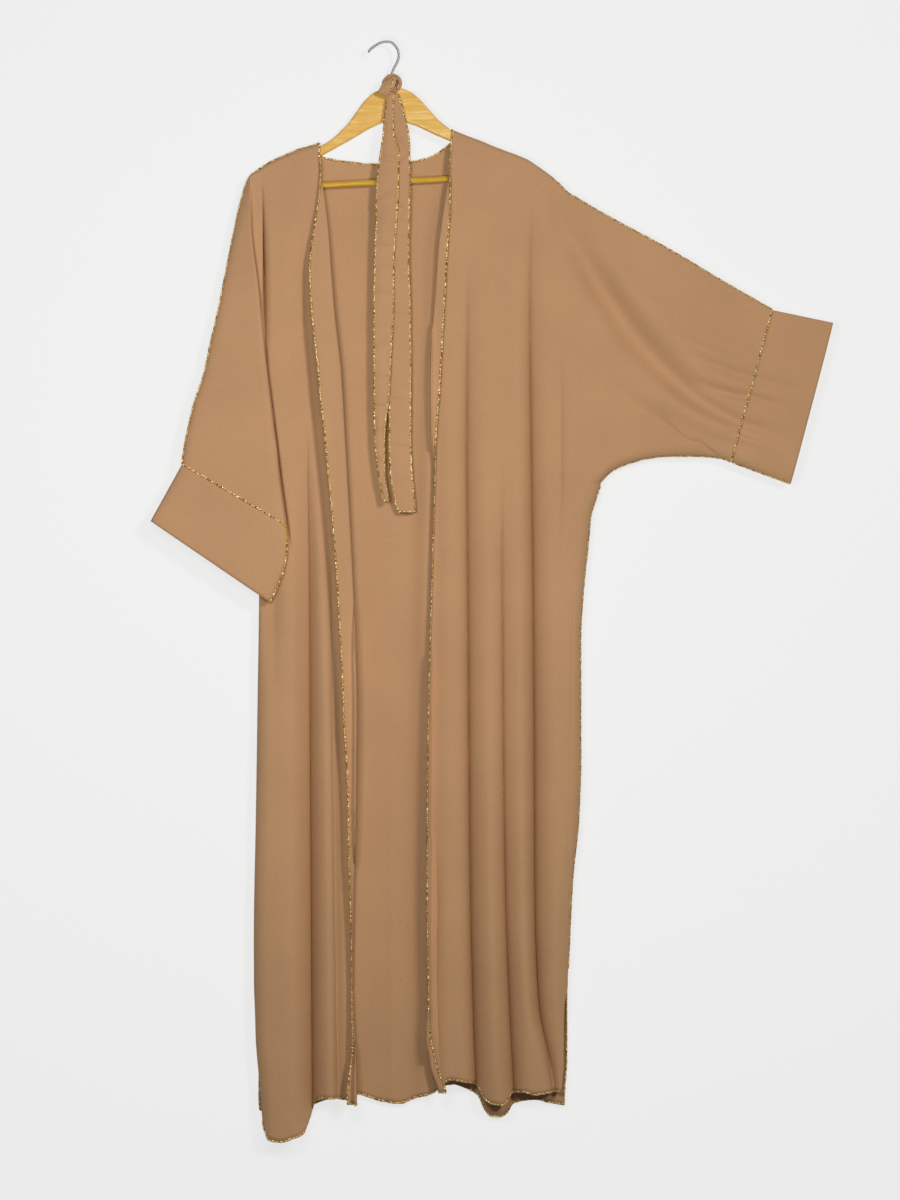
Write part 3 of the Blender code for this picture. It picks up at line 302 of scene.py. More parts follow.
# Creases: each is a line of points (x, down, half width, depth), deeper towards the wall where positive.
# The valleys are narrow, between round ridges, and the bells are soft. A panel is its folds with both.
VALLEYS_FRONT_LEFT = [
    [(125, 330, 16, 0), (124, 400, 24, 7), (122.5, 610, 26, 17), (124.5, 840, 29, 22),
     (126, 1060, 31, 27), (128.5, 1290, 32, 30), (133, 1470, 32, 31), (138, 1600, 32, 29)],
    [(175, 620, 16, 0), (176, 840, 23, 12), (177.5, 1060, 26, 17), (181, 1290, 29, 24),
     (188, 1470, 30, 27), (195, 1600, 30, 26)],
    [(224, 190, 14, 0), (219, 260, 21, 4), (217, 390, 25, 11), (219.5, 610, 24, 19), (222.5, 840, 26, 23),
     (224, 1060, 27, 26), (225, 1290, 27, 28), (231, 1440, 25, 28), (248, 1530, 20, 20),
     (258, 1600, 17, 16)],
    [(264, 440, 11, 0), (264.5, 560, 15, 4), (265, 660, 15, 4), (262, 760, 13, 1.5), (258, 860, 11, 0)],
    [(76, 1180, 8.8, 0), (79, 1290, 11, 4.5), (78, 1380, 11, 3.6), (80, 1480, 9.9, 2.2),
     (84, 1560, 8.8, 0)],
    [(408, 564, 5, 0), (424, 573, 6, 5), (440, 588, 6, 6), (455, 597, 6, 5), (472, 601, 5, 6),
     (487, 612, 5, 6), (501, 622, 5, 2)],
    [(512, 590, 5, 0), (526, 586, 6, 6), (540, 582, 7, 8)],
    [(318, 618, 7, 0), (334, 606, 9, 2.4), (352, 600, 8, 0)]]
VALLEYS_FRONT_RIGHT = [
    [(-116.2, 560, 18, 0), (-115, 700, 25, 9), (-113.5, 840, 29, 15), (-112.5, 1060, 33, 22),
     (-111, 1290, 35, 26), (-110, 1470, 35, 27), (-109, 1620, 35, 27)],
    [(-183.5, 186, 5, 0), (-183.5, 205, 7, 7), (-183, 250, 9, 12), (-182.5, 300, 10, 14),
     (-181.5, 370, 11, 14), (-180, 430, 10, 9), (-178, 500, 8, 0)],
    [(-183.5, 190, 3, 0), (-183.5, 215, 4, 5), (-182.5, 300, 4, 7), (-181, 370, 4, 7), (-179, 440, 3.5, 2)],
    [(-180, 440, 4, 1), (-177, 480, 4, 8), (-169, 545, 4, 10), (-162, 600, 4, 10), (-153, 670, 4, 10),
     (-145, 725, 4, 8), (-140, 760, 4, 0)],
    [(-80, 640, 11.5, 0), (-79, 900, 13.8, 2.1), (-76, 1200, 13.8, 3), (-72, 1500, 13.8, 3.8),
     (-70, 1620, 13.8, 3.8)]]
BELLS_FRONT_LEFT = [
    [(262, 1360, 14, 0), (260, 1470, 22, 7), (256, 1600, 26, 12)],
    [(235, 178, 8, 0), (256, 238, 15, 11), (285, 297, 18, 16), (324, 364, 21, 18), (372, 438, 22, 17),
     (419, 491, 20, 16), (466, 532, 17, 13), (498, 553, 13, 9), (534, 570, 9, 6)],
    [(279, 232, 6, -7), (300, 262, 10, -9), (345, 328, 16, -9), (383, 381, 20, -8), (419, 423, 22, -6),
     (466, 465, 22, -5), (510, 490, 18, -3)],
    [(330, 291, 14, 0), (393, 333, 24, 7), (466, 370, 24, 9), (530, 396, 16, 7), (576, 405, 10, 3)],
    [(510, 380, 8, 0), (545, 392, 8, -5), (575, 406, 6, -4)],
    [(330, 501, 14, 0), (360, 532, 16, 6), (400, 560, 14, 7), (430, 578, 10, 0)],
    [(395, 505, 16, 0), (440, 545, 16, -6), (500, 578, 14, -6), (535, 592, 8, -3)],
    [(440, 452, 8, 0), (480, 478, 10, 6), (520, 494, 9, 7), (552, 503, 7, 5)],
    [(460, 505, 7, 0), (500, 522, 8, 6), (530, 529, 7, 7), (546, 530, 6, 5)],
    [(420, 410, 9, 0), (470, 440, 11, 5), (530, 458, 10, 6), (560, 466, 7, 3)],
    [(290, 480, 16, 0), (282, 560, 18, -4), (276, 660, 16, -3), (272, 760, 14, 0)],
    [(150, 160, 18, 0), (160, 300, 24, 2.4), (158, 520, 24, 2), (156, 640, 20, 0)]]
BELLS_FRONT_RIGHT = [
    [(-118, 600, 13, 0), (-118, 740, 15, 5), (-117, 900, 15, 6), (-115, 1200, 14, 5), (-112, 1600, 13, 4)],
    [(-170, 740, 12, 3), (-170, 790, 14, 10), (-170, 870, 14, 8), (-168, 980, 12, 0)],
    [(-112, 230, 8, 0), (-117, 330, 9, 5), (-113, 430, 9, 6), (-102, 540, 10, 8), (-89, 680, 11, 10),
     (-74, 880, 12, 11), (-66, 1060, 12, 12), (-62, 1290, 12, 12), (-60, 1500, 12, 11), (-62, 1620, 12, 9)],
    [(-140, 200, 16, 0), (-145, 330, 20, -2.7), (-148, 480, 18, 0)],
    [(-128, 300, 14, 0), (-126, 450, 18, 3.6), (-122, 620, 18, 1.8)]]
BELLS_BACK = [
    [(100, 170, 12, -2), (92, 230, 14, -7), (84, 300, 16, -10), (76, 430, 17, -10), (70, 560, 18, -10.5),
     (65, 800, 18, -11), (62, 1100, 18, -11), (62, 1480, 18, -11), (64, 1580, 16, -4)],
    [(262, 226, 14, 0), (330, 330, 18, -5.6), (456, 513, 16, -2.8)],
    [(350, 476, 16, 0), (420, 538, 20, 4.2), (490, 590, 14, 0)],
    [(230, 430, 16, 0), (262, 530, 20, 4.9), (296, 640, 14, 0)],
    [(-184, 190, 12, 0), (-184, 225, 14, 5), (-183, 300, 14, 7), (-182, 380, 14, 7), (-180, 450, 14, 4),
     (-178, 520, 12, 0)],
    [(-80, 230, 16, 0), (-72, 420, 18, -2.8), (-60, 700, 16, -4), (-48, 1100, 16, -5), (-48, 1500, 16, -4)],
    [(520, 470, 8, 0), (545, 480, 8, 2.2), (556, 484, 6, 1.7)],
    [(480, 560, 7, 0), (512, 566, 8, -2.5), (540, 572, 6, -2.2)]]
VALLEYS_BACK = [
    [(158, 520, 16, 0), (162, 800, 22, -3), (168, 1200, 26, -5.5), (172, 1600, 26, -6)],
    [(-152, 560, 16, 0), (-154, 820, 22, -3), (-156, 1200, 25, -5), (-156, 1620, 25, -5.5)],
    [(226, 700, 14, 0), (232, 1000, 18, -3), (240, 1450, 24, -5), (245, 1560, 40, -12)],
    [(8, 900, 14, 0), (9, 1200, 20, -1.2), (10, 1600, 22, -2)],
    [(-98, 700, 10, 0), (-99, 1000, 14, -2), (-101, 1400, 16, -2.5), (-102, 1620, 16, -2.5)],
    [(108, 640, 10, 0), (110, 1000, 14, -2), (114, 1500, 16, -3)]]
LEFT = (FOLDS_FRONT_LEFT, VALLEYS_FRONT_LEFT, BELLS_FRONT_LEFT)
RIGHT = (FOLDS_FRONT_RIGHT, VALLEYS_FRONT_RIGHT, BELLS_FRONT_RIGHT)
BACK = (FOLDS_BACK, VALLEYS_BACK, BELLS_BACK)

# The sleeve that hangs, section by section: its inner line, the fold that shows and its outer seam
HANGING = Table("row inner_down inner_x inner_y middle_y fold_x outer_down front_y outer_y", [
    (0, 186, -184.5, 0, -1, -199, 207, -3, 0), (3, 194, -184.5, 0, -8, -202, 214, -12, 0),
    (5, 262, -184, 0, -11, -200, 272, -18, -1), (7, 348, -184.5, 0, -15, -189.5, 340, -24, -4),
    (9, 440, -185.5, 0, -19, -181, 414, -27, -8), (12, 580, -188, 0, -22, -166, 514, -33, -15),
    (13, 612, -193, -11, -24, -161, 544, -36, -17), (14, 656, -186, -25, -27, -157, 574, -38, -19),
    (15, 694, -174, -29, -30, -152, 603, -39, -21), (16, 732, -160, -31, -32, -147, 633, -40, -22)])
SLEEVE_OUTER = Table("down x", [
    (207, -206), (224, -212), (274, -224), (334, -236), (405, -250), (448, -260), (500, -271),
    (535, -283), (595, -297), (633, -303)])

# Its front's columns before the fold: share of the way when flat and when folded, how far each has sunk to
# the middle layer and risen to the front one. Then the shares of the way from fold or body to the seam.
HUNG_STATIONS = (
    (0.0, 0.0, 0.0, 0.0), (0.3, 0.0, 0.5, -0.05), (0.6, 0.25, 1.0, 0.0), (0.82, 0.62, 1.0, 0.12),
    (0.94, 0.93, 1.0, 0.45), (1.0, 1.0, 1.0, 0.85))
FOLD_SPREAD = (0.06, 0.17, 0.3, 0.45, 0.6, 0.75, 0.87, 0.95, 0.987, 1.0)
BACK_SPREAD = (0.03, 0.12, 0.26, 0.42, 0.58, 0.74, 0.87, 0.95, 0.985, 1.0)
SLEEVE_FLAT = 0.8
OUTER_FRONT, OUTER_BACK = 5.5, 5
FOLDED_FROM, FOLDED_OVER = 8, 14
SHIFT_ABOVE, SHIFT_BELOW = -1.6, 1.5
STATION_GAP, STATION_SINK = 0.3, 0.3
FOLD_TOP, FOLD_DROP, FOLD_ROWS = 0.08, 0.44, 8

# The sleeve that is held out: its underarm line from the side to the cuff seam
UNDERARM = Table("x down", [
    (322.5, 659), (334, 646), (350, 636), (366, 630), (390, 623), (427, 619), (465, 619), (503, 622),
    (519, 628)])

# Cuff openings: the two ends of each opening edge, the depth of its middle and its half depth
CUFF_LEFT_OPENING = ((672, 420), (608.5, 661), 0.0, 10.0)
CUFF_RIGHT_OPENING = ((-349, 718), (-171.5, 839), -25.0, 6.0)
CUFF_LEFT_FALL, CUFF_RIGHT_FALL = (91, 15), (-32, 70)
CUFF_BULGE = 11.0
BULGE_POWER = 8

# The hanger's outline from its crown, half of it: across from the middle, down from the top
WOOD_OUTLINE = Table("across drop", [
    (0, 0), (14, 2), (30, 9), (43, 21), (54, 35), (68, 52.5), (88, 70.5), (97.5, 77), (115.5, 86),
    (157, 103), (193, 118.5), (205, 126), (210.5, 134), (210, 146), (203, 154), (190, 152), (189.9, 134),
    (150, 118), (99, 93), (60, 74), (36, 61), (17, 53.5), (0, 50)])

# The hook's wire, from its tip round the bend to the crown
HOOK = Table("x down", [
    (-25.2, 14.5), (-22.5, 9.5), (-17.5, 6.2), (-10, 1.0), (0, -1.9), (8.4, -1.9), (14, 2.5), (18.5, 8.5),
    (21, 16.8), (19.8, 25.5), (15.5, 34), (11.3, 42.5), (9.4, 51), (9, 58), (9, 65.5)])

# Belt tails: left and right edge as they hang, and the depth of their middle
BELT_FRONT = Table("down left right y", [
    (76, 4.5, 13.5, -12.4), (86, 3, 13, -12.7), (116, -1.5, 13.5, -13.3), (140, -3, 14, -13.8),
    (161, -6, 21, -14), (213, -12, 21, -14), (270, -13.5, 18, -14), (322, -15, 14, -14),
    (390, -16.5, 13.5, -14), (460, -16.5, 10.5, -14), (517, -16.5, 7.5, -14), (597, -15, 0, -13),
    (643, -10.5, 0, -12), (688, -2, 7, -12)])
BELT_BACK = Table("down left right y", [
    (78, 9, 20, -9.6), (88, 10, 24, -9.6), (116, 12, 31, -9.6), (140, 10, 36, -9.6), (161, 6, 37.5, -9.5),
    (213, 4, 37.5, -9), (322, 4, 36, -8), (390, 5, 38, -7), (517, 6, 39, -6), (597, 6.5, 39, -5),
    (643, 8, 41, -5), (688, 15, 45, -5), (704, 20, 46.5, -5)])

# Small transverse puckers of the belt's tails: how far down, how high and how steep each is
BELT_FRONT_PUCKERS = Table("down height tilt", [
    (126, 1.3, 10), (150, 0.8, -8), (176, 1.9, 12), (196, 1.4, 6), (232, 2.2, -10), (258, 1.1, 9),
    (300, 1.8, 14), (338, 1.3, -6), (372, 1.9, 10), (410, 1.0, 12), (452, 1.6, -12), (498, 1.3, 8),
    (540, 1.8, 10), (580, 1.1, -8), (622, 1.4, 9), (660, 1.0, 12)])
BELT_BACK_PUCKERS = Table("down height tilt", [
    (120, 0.8, 14), (146, 2.0, 45), (168, 1.4, -12), (190, 2.2, -50), (210, 1.0, 10), (236, 2.0, 55),
    (262, 1.6, 12), (330, 1.1, -10), (402, 1.4, 12), (470, 1.0, -8), (530, 1.3, 10), (600, 1.4, 12),
    (652, 0.8, -8)])

# The wrap of the knot, which crosses in front of the loop and holds the tails, along its length
BELT_WRAP = Table("along x down y across deep", [
    (0, 13, 53.5, -13, 4, 2), (1, 10.5, 58, -16.4, 8, 4), (2, 5.5, 66, -17.5, 9.2, 4.3),
    (3, 0.5, 74, -17.6, 9, 4), (4, -3, 80, -17, 8.4, 2.6)])

# Places of the fine rows, in the solids' own row numbers, and of the columns across a front and its side
ROLL_STEP = 1 / 4
UPPER_STEP = 1 / 11
LOWER_STEP = 1 / 8
ROWS = np.concatenate((np.arange(0, ROLL_ROWS, ROLL_STEP), np.arange(ROLL_ROWS, UNDERARM_ROW, UPPER_STEP),
                       np.arange(UNDERARM_ROW, HEM_ROW + LOWER_STEP / 2, LOWER_STEP)))
UNDERARM_AT = int(np.argmin(np.abs(ROWS - UNDERARM_ROW)))
SLEEVE_ROWS = ROWS[:UNDERARM_AT + 1]
HUNG_STEPS = np.arange(1, 10 * (CUFF_ROW - UNDERARM_ROW) + 1)
HUNG_ROWS = np.concatenate((SLEEVE_ROWS, UNDERARM_ROW + HUNG_STEPS / 10))
FRONT_SHARE = (0.0, 0.05, 0.12, 0.2, 0.28, 0.36, 0.44, 0.52, 0.6, 0.68, 0.76, 0.84, 0.92, 1.0)
FRONT_INNER = len(FRONT_SHARE) - 1
FRONT_COLUMNS = np.concatenate((np.arange(0, FRONT_INNER, 1 / 9), FRONT_INNER + np.arange(0, 31) / 10))
SIDE_INSET = (22.0, 9.0, 2.2, 0.0)
SIDE_SHARE = (0.0, 0.38, 0.72, 1.0)

# How the rows bunch above the underarm, how the sides close towards it, and where on the turn of a side
# the seam's own gap opens
LAST_ROW_GAP = 5.5
SIDE_CLOSING = ((9, 10, 11, 12), (1, 0.82, 0.5, 0))
UNDERARM_REACH = 80.0
SEAM_OPENS_AT, SEAM_OPENS_OVER = 0.8, 0.2
HELD_NEAR_FRONT, HELD_NEAR_BACK = 5, 6

# How far above the left underarm the fronts' row 12 starts at their free edge, and where the search for
# the top and the hem of a column begins
EDGE_ABOVE = 20.0
TOP_GUESS, TOP_PASSES = 190.0, 12
HEM_GUESS = 1570.0

# The back's columns at its top: right shoulder, neckline, left shoulder
BACK_STATIONS = (
    -184.5, -184, -181, -164, -144, -125, -107, -106.4, -105.8, -99, -84, -56, -20, 20, 56, 83, 98, 105.8,
    106.4, 107, 130, 158, 186, 216, 246, 272, 297, 310, 317, 319)
BACK_SIDE_STEPS = 7
BACK_FROM, BACK_FADE = 150, 480


def nearest_on(points, x, down):
    """Distance to a line of straight stretches, and the line's own columns at the nearest place on it."""
    best = np.full(x.shape, np.inf)
    found = np.zeros((points.shape[1], *x.shape))
    for a, b in zip(points, points[1:]):
        way = b[:2] - a[:2]
        t = np.clip(((x - a[0]) * way[0] + (down - a[1]) * way[1]) / (way @ way), 0, 1)
        here = a[:, None, None] + (b - a)[:, None, None] * t
        gap = np.hypot(x - here[0], down - here[1])
        found = np.where(gap < best, here, found)
        best = np.minimum(gap, best)
    return best, found


def fold_depth(folds, x, down):
    """Cosine waves between the fold lines, which drift and deepen from the shoulder to the hem."""
    reach = np.clip((down - FOLDS_START) / (FOLDS_FULL - FOLDS_START), 0, 1)
    high_x, low_x, high_y, low_y = folds.rows.T[..., None, None]
    line_x = high_x * (1 - reach) + low_x * reach
    line_y = high_y * (1 - reach) + low_y * reach
    t = (x - line_x[:-1]) / (line_x[1:] - line_x[:-1])
    wave = line_y[:-1] + (line_y[1:] - line_y[:-1]) * (1 - np.cos(math.pi * np.clip(t, 0, 1))) / 2
    inside = (t >= 0) & (t < 1)
    return (wave * inside).sum(axis=0) * ease((down - FOLDS_START + FOLDS_FADE) / (2 * FOLDS_FADE))


def relief(lines, x, down, sharp):
    """Sum of creases: each line's depth times a profile of the distance to the line.

    A sharp profile is the valley between two round ridges, (1 - sqrt(1 - (1 - q)^2))^BROAD up to q = 1;
    a soft one is a bell, exp(-q^2), where q is the distance in half widths.
    """
    total = np.zeros_like(x)
    for line in lines:
        knots = np.array(line, dtype=float)
        steps = np.linspace(0, len(knots) - 1, 4 * len(knots) - 3)
        points = smooth_through(np.arange(len(knots)), knots, steps)
        gap, (line_x, _, half, depth) = nearest_on(points, x, down)
        if sharp and knots[-1, 1] - knots[0, 1] > GATHER_REACH:
            half = half * (1 + LEAN * np.tanh((x - line_x) / LEAN_REACH))
        q = gap / half
        rounded = np.clip(1 + CUSP - np.sqrt(q * q + CUSP ** 2), 0, 1)
        total = total + depth * ((1 - np.sqrt(1 - rounded ** 2)) ** BROAD if sharp else np.exp(-q * q))
    return total


def gather(x, down, lines, start, end):
    """Columns drawn together along the narrow valleys: x - a w sin(pi d / w) / pi for each line."""
    wide = end - start
    inside = np.clip((x - start) / wide * GATHER_FADE, 0, 1) * np.clip((end - x) / wide * GATHER_FADE, 0, 1)
    for line in lines:
        knots = np.array(line, dtype=float)
        if knots[-1, 1] - knots[0, 1] >= GATHER_REACH:
            middle = smooth_through(knots[:, 1], knots[:, 0], down)
            near = np.clip((x - middle) / GATHER_HALF, -1, 1)
            x = x - GATHERED * inside * GATHER_HALF * np.sin(math.pi * near) / math.pi
    return x


def roll_radius(x):
    """Radius of the cloth over the shoulder: round the wood, then tighter where nothing is inside."""
    inside = ease((WOOD_REACH - np.abs(x - HANGER_TOP[0])) / ROLL_FADE)
    return EMPTY_ROLL + (WOOD_ROLL - EMPTY_ROLL) * inside


def crease_depth(panel, x, down):
    """Depth of a panel's creases, its narrow valleys and its soft bells."""
    _, valleys, bells = panel
    return relief(valleys, x, down, True) + relief(bells, x, down, False)


def layer_depth(side, x, down, panel):
    """Depth of a panel: -1 for a front, 1 for the back, with its folds and creases."""
    level = LAYERS.read("front" if side < 0 else "back", down)
    return level + fold_depth(panel[0], x, down) + crease_depth(panel, x, down)


def closing(distance, width):
    """Share of a layer's depth that is left at a distance from the seam where both layers meet."""
    near = np.clip(distance / width, 0, 1)
    return np.sqrt(1 - (1 - near) ** 2)


def row_downs(top, underarm, hem, near, rows):
    """Distance down of every row and column: even rows, or bunched above the underarm where near is 1."""
    r = rows[:, None]
    even = top + (underarm - top) * (r - ROLL_ROWS) / (UNDERARM_ROW - ROLL_ROWS)
    last_even = UNDERARM_ROW - 2
    to_stop = top + (underarm - UNDERARM_ROUND - top) * (r - ROLL_ROWS) / (last_even - ROLL_ROWS)
    places, gaps = (last_even, last_even + 1, UNDERARM_ROW), (UNDERARM_ROUND, LAST_ROW_GAP, 0)
    held = underarm - np.interp(r, places, gaps)
    upper = even + (np.where(r <= last_even, to_stop, held) - even) * near
    lower = underarm + (hem - underarm) * (r - UNDERARM_ROW) / (HEM_ROW - UNDERARM_ROW)
    return np.where(r <= UNDERARM_ROW, upper, lower)


def over_shoulder(side, x, line, rows):
    """Depth and height of the rows over the shoulder, an arc from the seam to the hanging part."""
    radius = roll_radius(x)
    (first, fade_in), (last, fade_out) = SEAM_BEHIND_STARTS, SEAM_BEHIND_ENDS
    behind = np.radians(SEAM_BEHIND_DEGREES * ease((x - first) / fade_in) * ease((last - x) / fade_out))
    start = side * behind + SEAM_HALF / radius
    turn = np.radians(np.interp(rows, range(ROLL_ROWS + 1), ROLL_DEGREES))[:, None]
    angle = start + (math.pi / 2 - start) * turn / (math.pi / 2)
    return side * radius * np.sin(angle), line + radius * (1 - np.cos(angle))


def body_grid(side, across, tops, mids, hems, near, panel):
    """Grid of one panel: rows over the shoulder first, then rows that hang with the panel's folds."""
    top_x = across(tops)
    down = row_downs(tops + roll_radius(top_x), mids, hems, near, ROWS)
    x = across(down)
    roll = ROWS < ROLL_ROWS
    x[roll] = top_x
    line = SHOULDER.read("down", top_x)
    over_y, over_down = over_shoulder(side, top_x, line, ROWS[roll])
    hung = tops > line + NECK_DROP
    radius = roll_radius(top_x)
    level = side * radius * closing(tops - line, radius)
    under = np.minimum(SHOULDER.read("down", x), down)
    rolled = side * roll_radius(x) * closing(down - under + LEAST_DOWN, roll_radius(x))
    hanging = layer_depth(side, x, down, panel)
    y = rolled + (hanging - rolled) * ease((down - under) / SHOULDER_BLEND)
    y[roll] = np.where(hung, level, over_y)
    down[roll] = np.where(hung, tops + ROWS[roll][:, None] * radius / ROLL_ROWS, over_down)
    return x, down, y


def wrap_side(grid, table, outward, side, share, underarm):
    """Round the outer columns of a body grid to the side seam and close its layers above the underarm.

    share is 0 where the flat part ends and 1 at the seam; the turn is an ellipse as deep as the layers.
    """
    x, down, y = grid
    above = slice(ROWS.searchsorted(ROLL_ROWS), UNDERARM_AT)
    if outward > 0:
        point_x = float(table.read("x", underarm))
        near_side = ease(1 - np.abs(x[above] - point_x) / UNDERARM_REACH)
        tight = closing(np.hypot(x[above] - point_x, down[above] - underarm), UNDERARM_ROUND)
        y[above] = y[above] * (tight * near_side + 1 - near_side)
    else:
        drop = np.interp(ROWS[above], *SIDE_CLOSING)[:, None]
        y[above] = y[above] * (1 - (1 - drop) * share ** 2)
    turned = share > 0
    below = slice(UNDERARM_AT, None)
    d, s = down[below][:, turned], share[turned]
    seam = np.radians(table.read("seam_degrees", d))
    angle = -side * math.pi / 2 + (seam + side * math.pi / 2) * s
    new_x = table.read("x", d) - outward * SIDE_ROUND * (1 - np.cos(angle))
    own = y[below][:, turned]
    other = layer_depth(-side, new_x, d, BACK if side < 0 else RIGHT)
    front, back = (own, other) if side < 0 else (other, own)
    gap = side * SEAM_HALF * ease((s - SEAM_OPENS_AT) / SEAM_OPENS_OVER)
    x[below, turned] = new_x + outward * gap * np.sin(angle)
    y[below, turned] = np.where(angle >= 0, front, back) * np.abs(np.sin(angle)) + gap * np.cos(angle)
    opened = ease((down - SLIT_TOP) / SLIT_FADE) * share ** 3
    y += side * SLIT_OPEN / 2 * opened
    if side < 0:
        x -= outward * SLIT_LAP * opened
    return x, down, y


def held_sleeve(side, panel, shared):
    """Grid of the sleeve that is held out, from the body's side to the cuff seam.

    Columns run between two points of the overarm and underarm lines; depth eases from the body's
    layers to a flat sleeve and closes round the underarm line.
    """
    reach = np.linspace(0, 1, SLEEVE_COLUMNS)
    top_x, low_x = (start + (end - start) * reach for start, end in (HELD_TOP, HELD_LOW))
    top_down, low_down = SHOULDER.read("down", top_x), UNDERARM.read("down", low_x)
    down = row_downs(top_down + roll_radius(top_x), low_down, low_down + 1, 1.0, SLEEVE_ROWS)
    x = top_x + (low_x - top_x) * (down - top_down) / (low_down - top_down)
    hanging = layer_depth(side, x, down, panel)
    flat = side * SLEEVE_HALF_DEPTH + crease_depth(panel, x, down)
    flat = hanging + (flat - hanging) * ease(reach * HELD_FLATTENS)
    rolled = side * roll_radius(x)
    y = rolled + (flat - rolled) * ease((down - top_down) / SHOULDER_BLEND)
    distance, _ = nearest_on(UNDERARM.rows, x, down)
    distance[-1] = 0
    y = side * SEAM_HALF + (y - side * SEAM_HALF) * closing(distance, UNDERARM_ROUND)
    roll = SLEEVE_ROWS < ROLL_ROWS
    x[roll] = top_x
    y[roll], down[roll] = over_shoulder(side, top_x, top_down, SLEEVE_ROWS[roll])
    for own, body in zip((x, down, y), shared):
        own += (body[:len(SLEEVE_ROWS), None] - own[:, :1]) * ease(1 - reach / HELD_JOIN)
    return x, down, y


def through_stations(stations):
    """A grid from a few columns: cubics through them, spaced evenly by the columns' mean distance."""
    parts = [np.array(part) for part in zip(*stations)]
    apart = np.sqrt(sum(np.diff(part, axis=0) ** 2 for part in parts)).mean(axis=1)
    knots = np.concatenate(([0], np.cumsum(np.maximum(apart, STATION_GAP))))
    at = [np.linspace(a, b, max(2, math.ceil((b - a) / COLUMN_STEP) + 1))[:-1]
          for a, b in zip(knots, knots[1:])]
    return tuple(smooth_through(knots, part, np.concatenate(at + [knots[-1:]])).T for part in parts)


def hanging_section(shared, side):
    """Sizes of the hanging sleeve at every row, its inner line and its outer seam.

    The inner line is the body's own column, and below the underarm a seam of its own.
    """
    size = {name: HANGING.read(name, HUNG_ROWS) * (SLEEVE_FLAT if name.endswith("_y") else 1)
            for name in HANGING.names[1:]}
    outer_down = size["outer_down"]
    outer = SLEEVE_OUTER.read("x", outer_down), outer_down, size["outer_y"] + side * SEAM_HALF
    below = HUNG_ROWS > UNDERARM_ROW
    body = [np.concatenate((part[:UNDERARM_AT + 1], np.zeros(below.sum()))) for part in shared]
    step = CROTCH_STEP * ease(HUNG_ROWS - UNDERARM_ROW) if side > 0 else 0
    seam = size["inner_x"] - step, size["inner_down"], size["inner_y"] + side * SEAM_HALF
    return size, [np.where(below, *both) for both in zip(seam, body)], outer


def towards_seam(start, outer, shares, swell):
    """Columns from a line out to the outer seam, where the layers close; swell is their depth before it."""
    outer_x, outer_down, outer_y = outer
    end = (outer_x, outer_down, outer_y + swell)
    columns = []
    for share in shares:
        x, down, level = (a + (b - a) * share for a, b in zip(start, end))
        columns.append((x, down, outer_y + (level - outer_y) * closing(np.abs(x - outer_x), OUTER_ROUND)))
    return columns


def hanging_front(shared):
    """Front of the hanging sleeve: back over the body, round the fold that shows, out to the seam."""
    size, (inner_x, inner_down, inner_y), outer = hanging_section(shared, -1)
    fold_x, middle_y, front_y = size["fold_x"], size["middle_y"], size["front_y"]
    fold_share = FOLD_TOP + FOLD_DROP * ease(1 - HUNG_ROWS / FOLD_ROWS)
    fold_down = inner_down + (size["outer_down"] - inner_down) * fold_share
    folded = ease((fold_x - inner_x + FOLDED_FROM) / FOLDED_OVER)
    shift = SHIFT_ABOVE + (SHIFT_BELOW - SHIFT_ABOVE) * np.clip(HUNG_ROWS - UNDERARM_ROW, 0, 1)
    stations = []
    for j, (flat, bent, level, rise) in enumerate(HUNG_STATIONS):
        share = flat + (bent - flat) * folded
        x = inner_x + (fold_x - inner_x) * share + (shift * folded if j == 1 else 0)
        down = inner_down + (fold_down - inner_down) * share
        even = inner_y + (front_y - inner_y) * rise
        sunk = inner_y + (middle_y - inner_y) * level - STATION_SINK * max(0, j - 2)
        if j == len(HUNG_STATIONS) - 1:
            sunk = (middle_y + front_y) / 2
        stations.append((x, down, even + (sunk - even) * folded))
    fold = (fold_x, fold_down, front_y)
    return through_stations(stations + towards_seam(fold, outer, FOLD_SPREAD, -OUTER_FRONT))


def hanging_back(shared):
    """Back of the hanging sleeve, from the body's side or the underarm seam out to the outer seam."""
    _, inner, outer = hanging_section(shared, 1)
    return through_stations([tuple(inner)] + towards_seam(inner, outer, BACK_SPREAD, OUTER_BACK))


def turned_edge(table, outward, grid, folds, lift):
    """The turned-back strip of a front: its curl at the fold line, then its part over the panel."""
    fold_x, d, fold_y = column(grid, 0)
    width = table.read("turned", d)
    angle = np.radians(table.read("angle", d))
    radius = np.minimum(CURL_RADIUS, width / 3)
    tall = radius + lift / 2 * ease((d - LIFT_FROM) / LIFT_FADE) * np.clip(width / FLAP_WIDE, 0, 1)
    strips = [(-outward * radius * np.sin(angle * share), -tall * (1 - np.cos(angle * share)))
              for share in np.linspace(0, 1, CURL_STEPS)[1:]]
    base_x, base_y = strips[-1]
    for share in np.linspace(0, 1, FLAT_STEPS)[1:]:
        length = (width - radius) * share
        away = base_y - length * np.sin(angle) - FLAP_TILT * (tall - radius) * share
        strips.append((base_x - outward * length * np.cos(angle), away))
    slope = ease((SLOPE_TO - d) / SLOPE_FADE)
    follow = np.clip(-np.cos(angle), 0, 1)
    here = fold_depth(folds, fold_x[:, None], d[:, None])[:, 0]
    columns = []
    for dx, dy in strips[::-1]:
        there = fold_x + dx
        rise = (SHOULDER.read("down", there) - SHOULDER.read("down", fold_x)) * slope
        under = fold_depth(folds, there[:, None], d[:, None])[:, 0] - here
        columns.append((there, d + rise, fold_y + dy + under * follow))
    return tuple(np.column_stack((*turned, part)) for turned, part in zip(zip(*columns), grid))


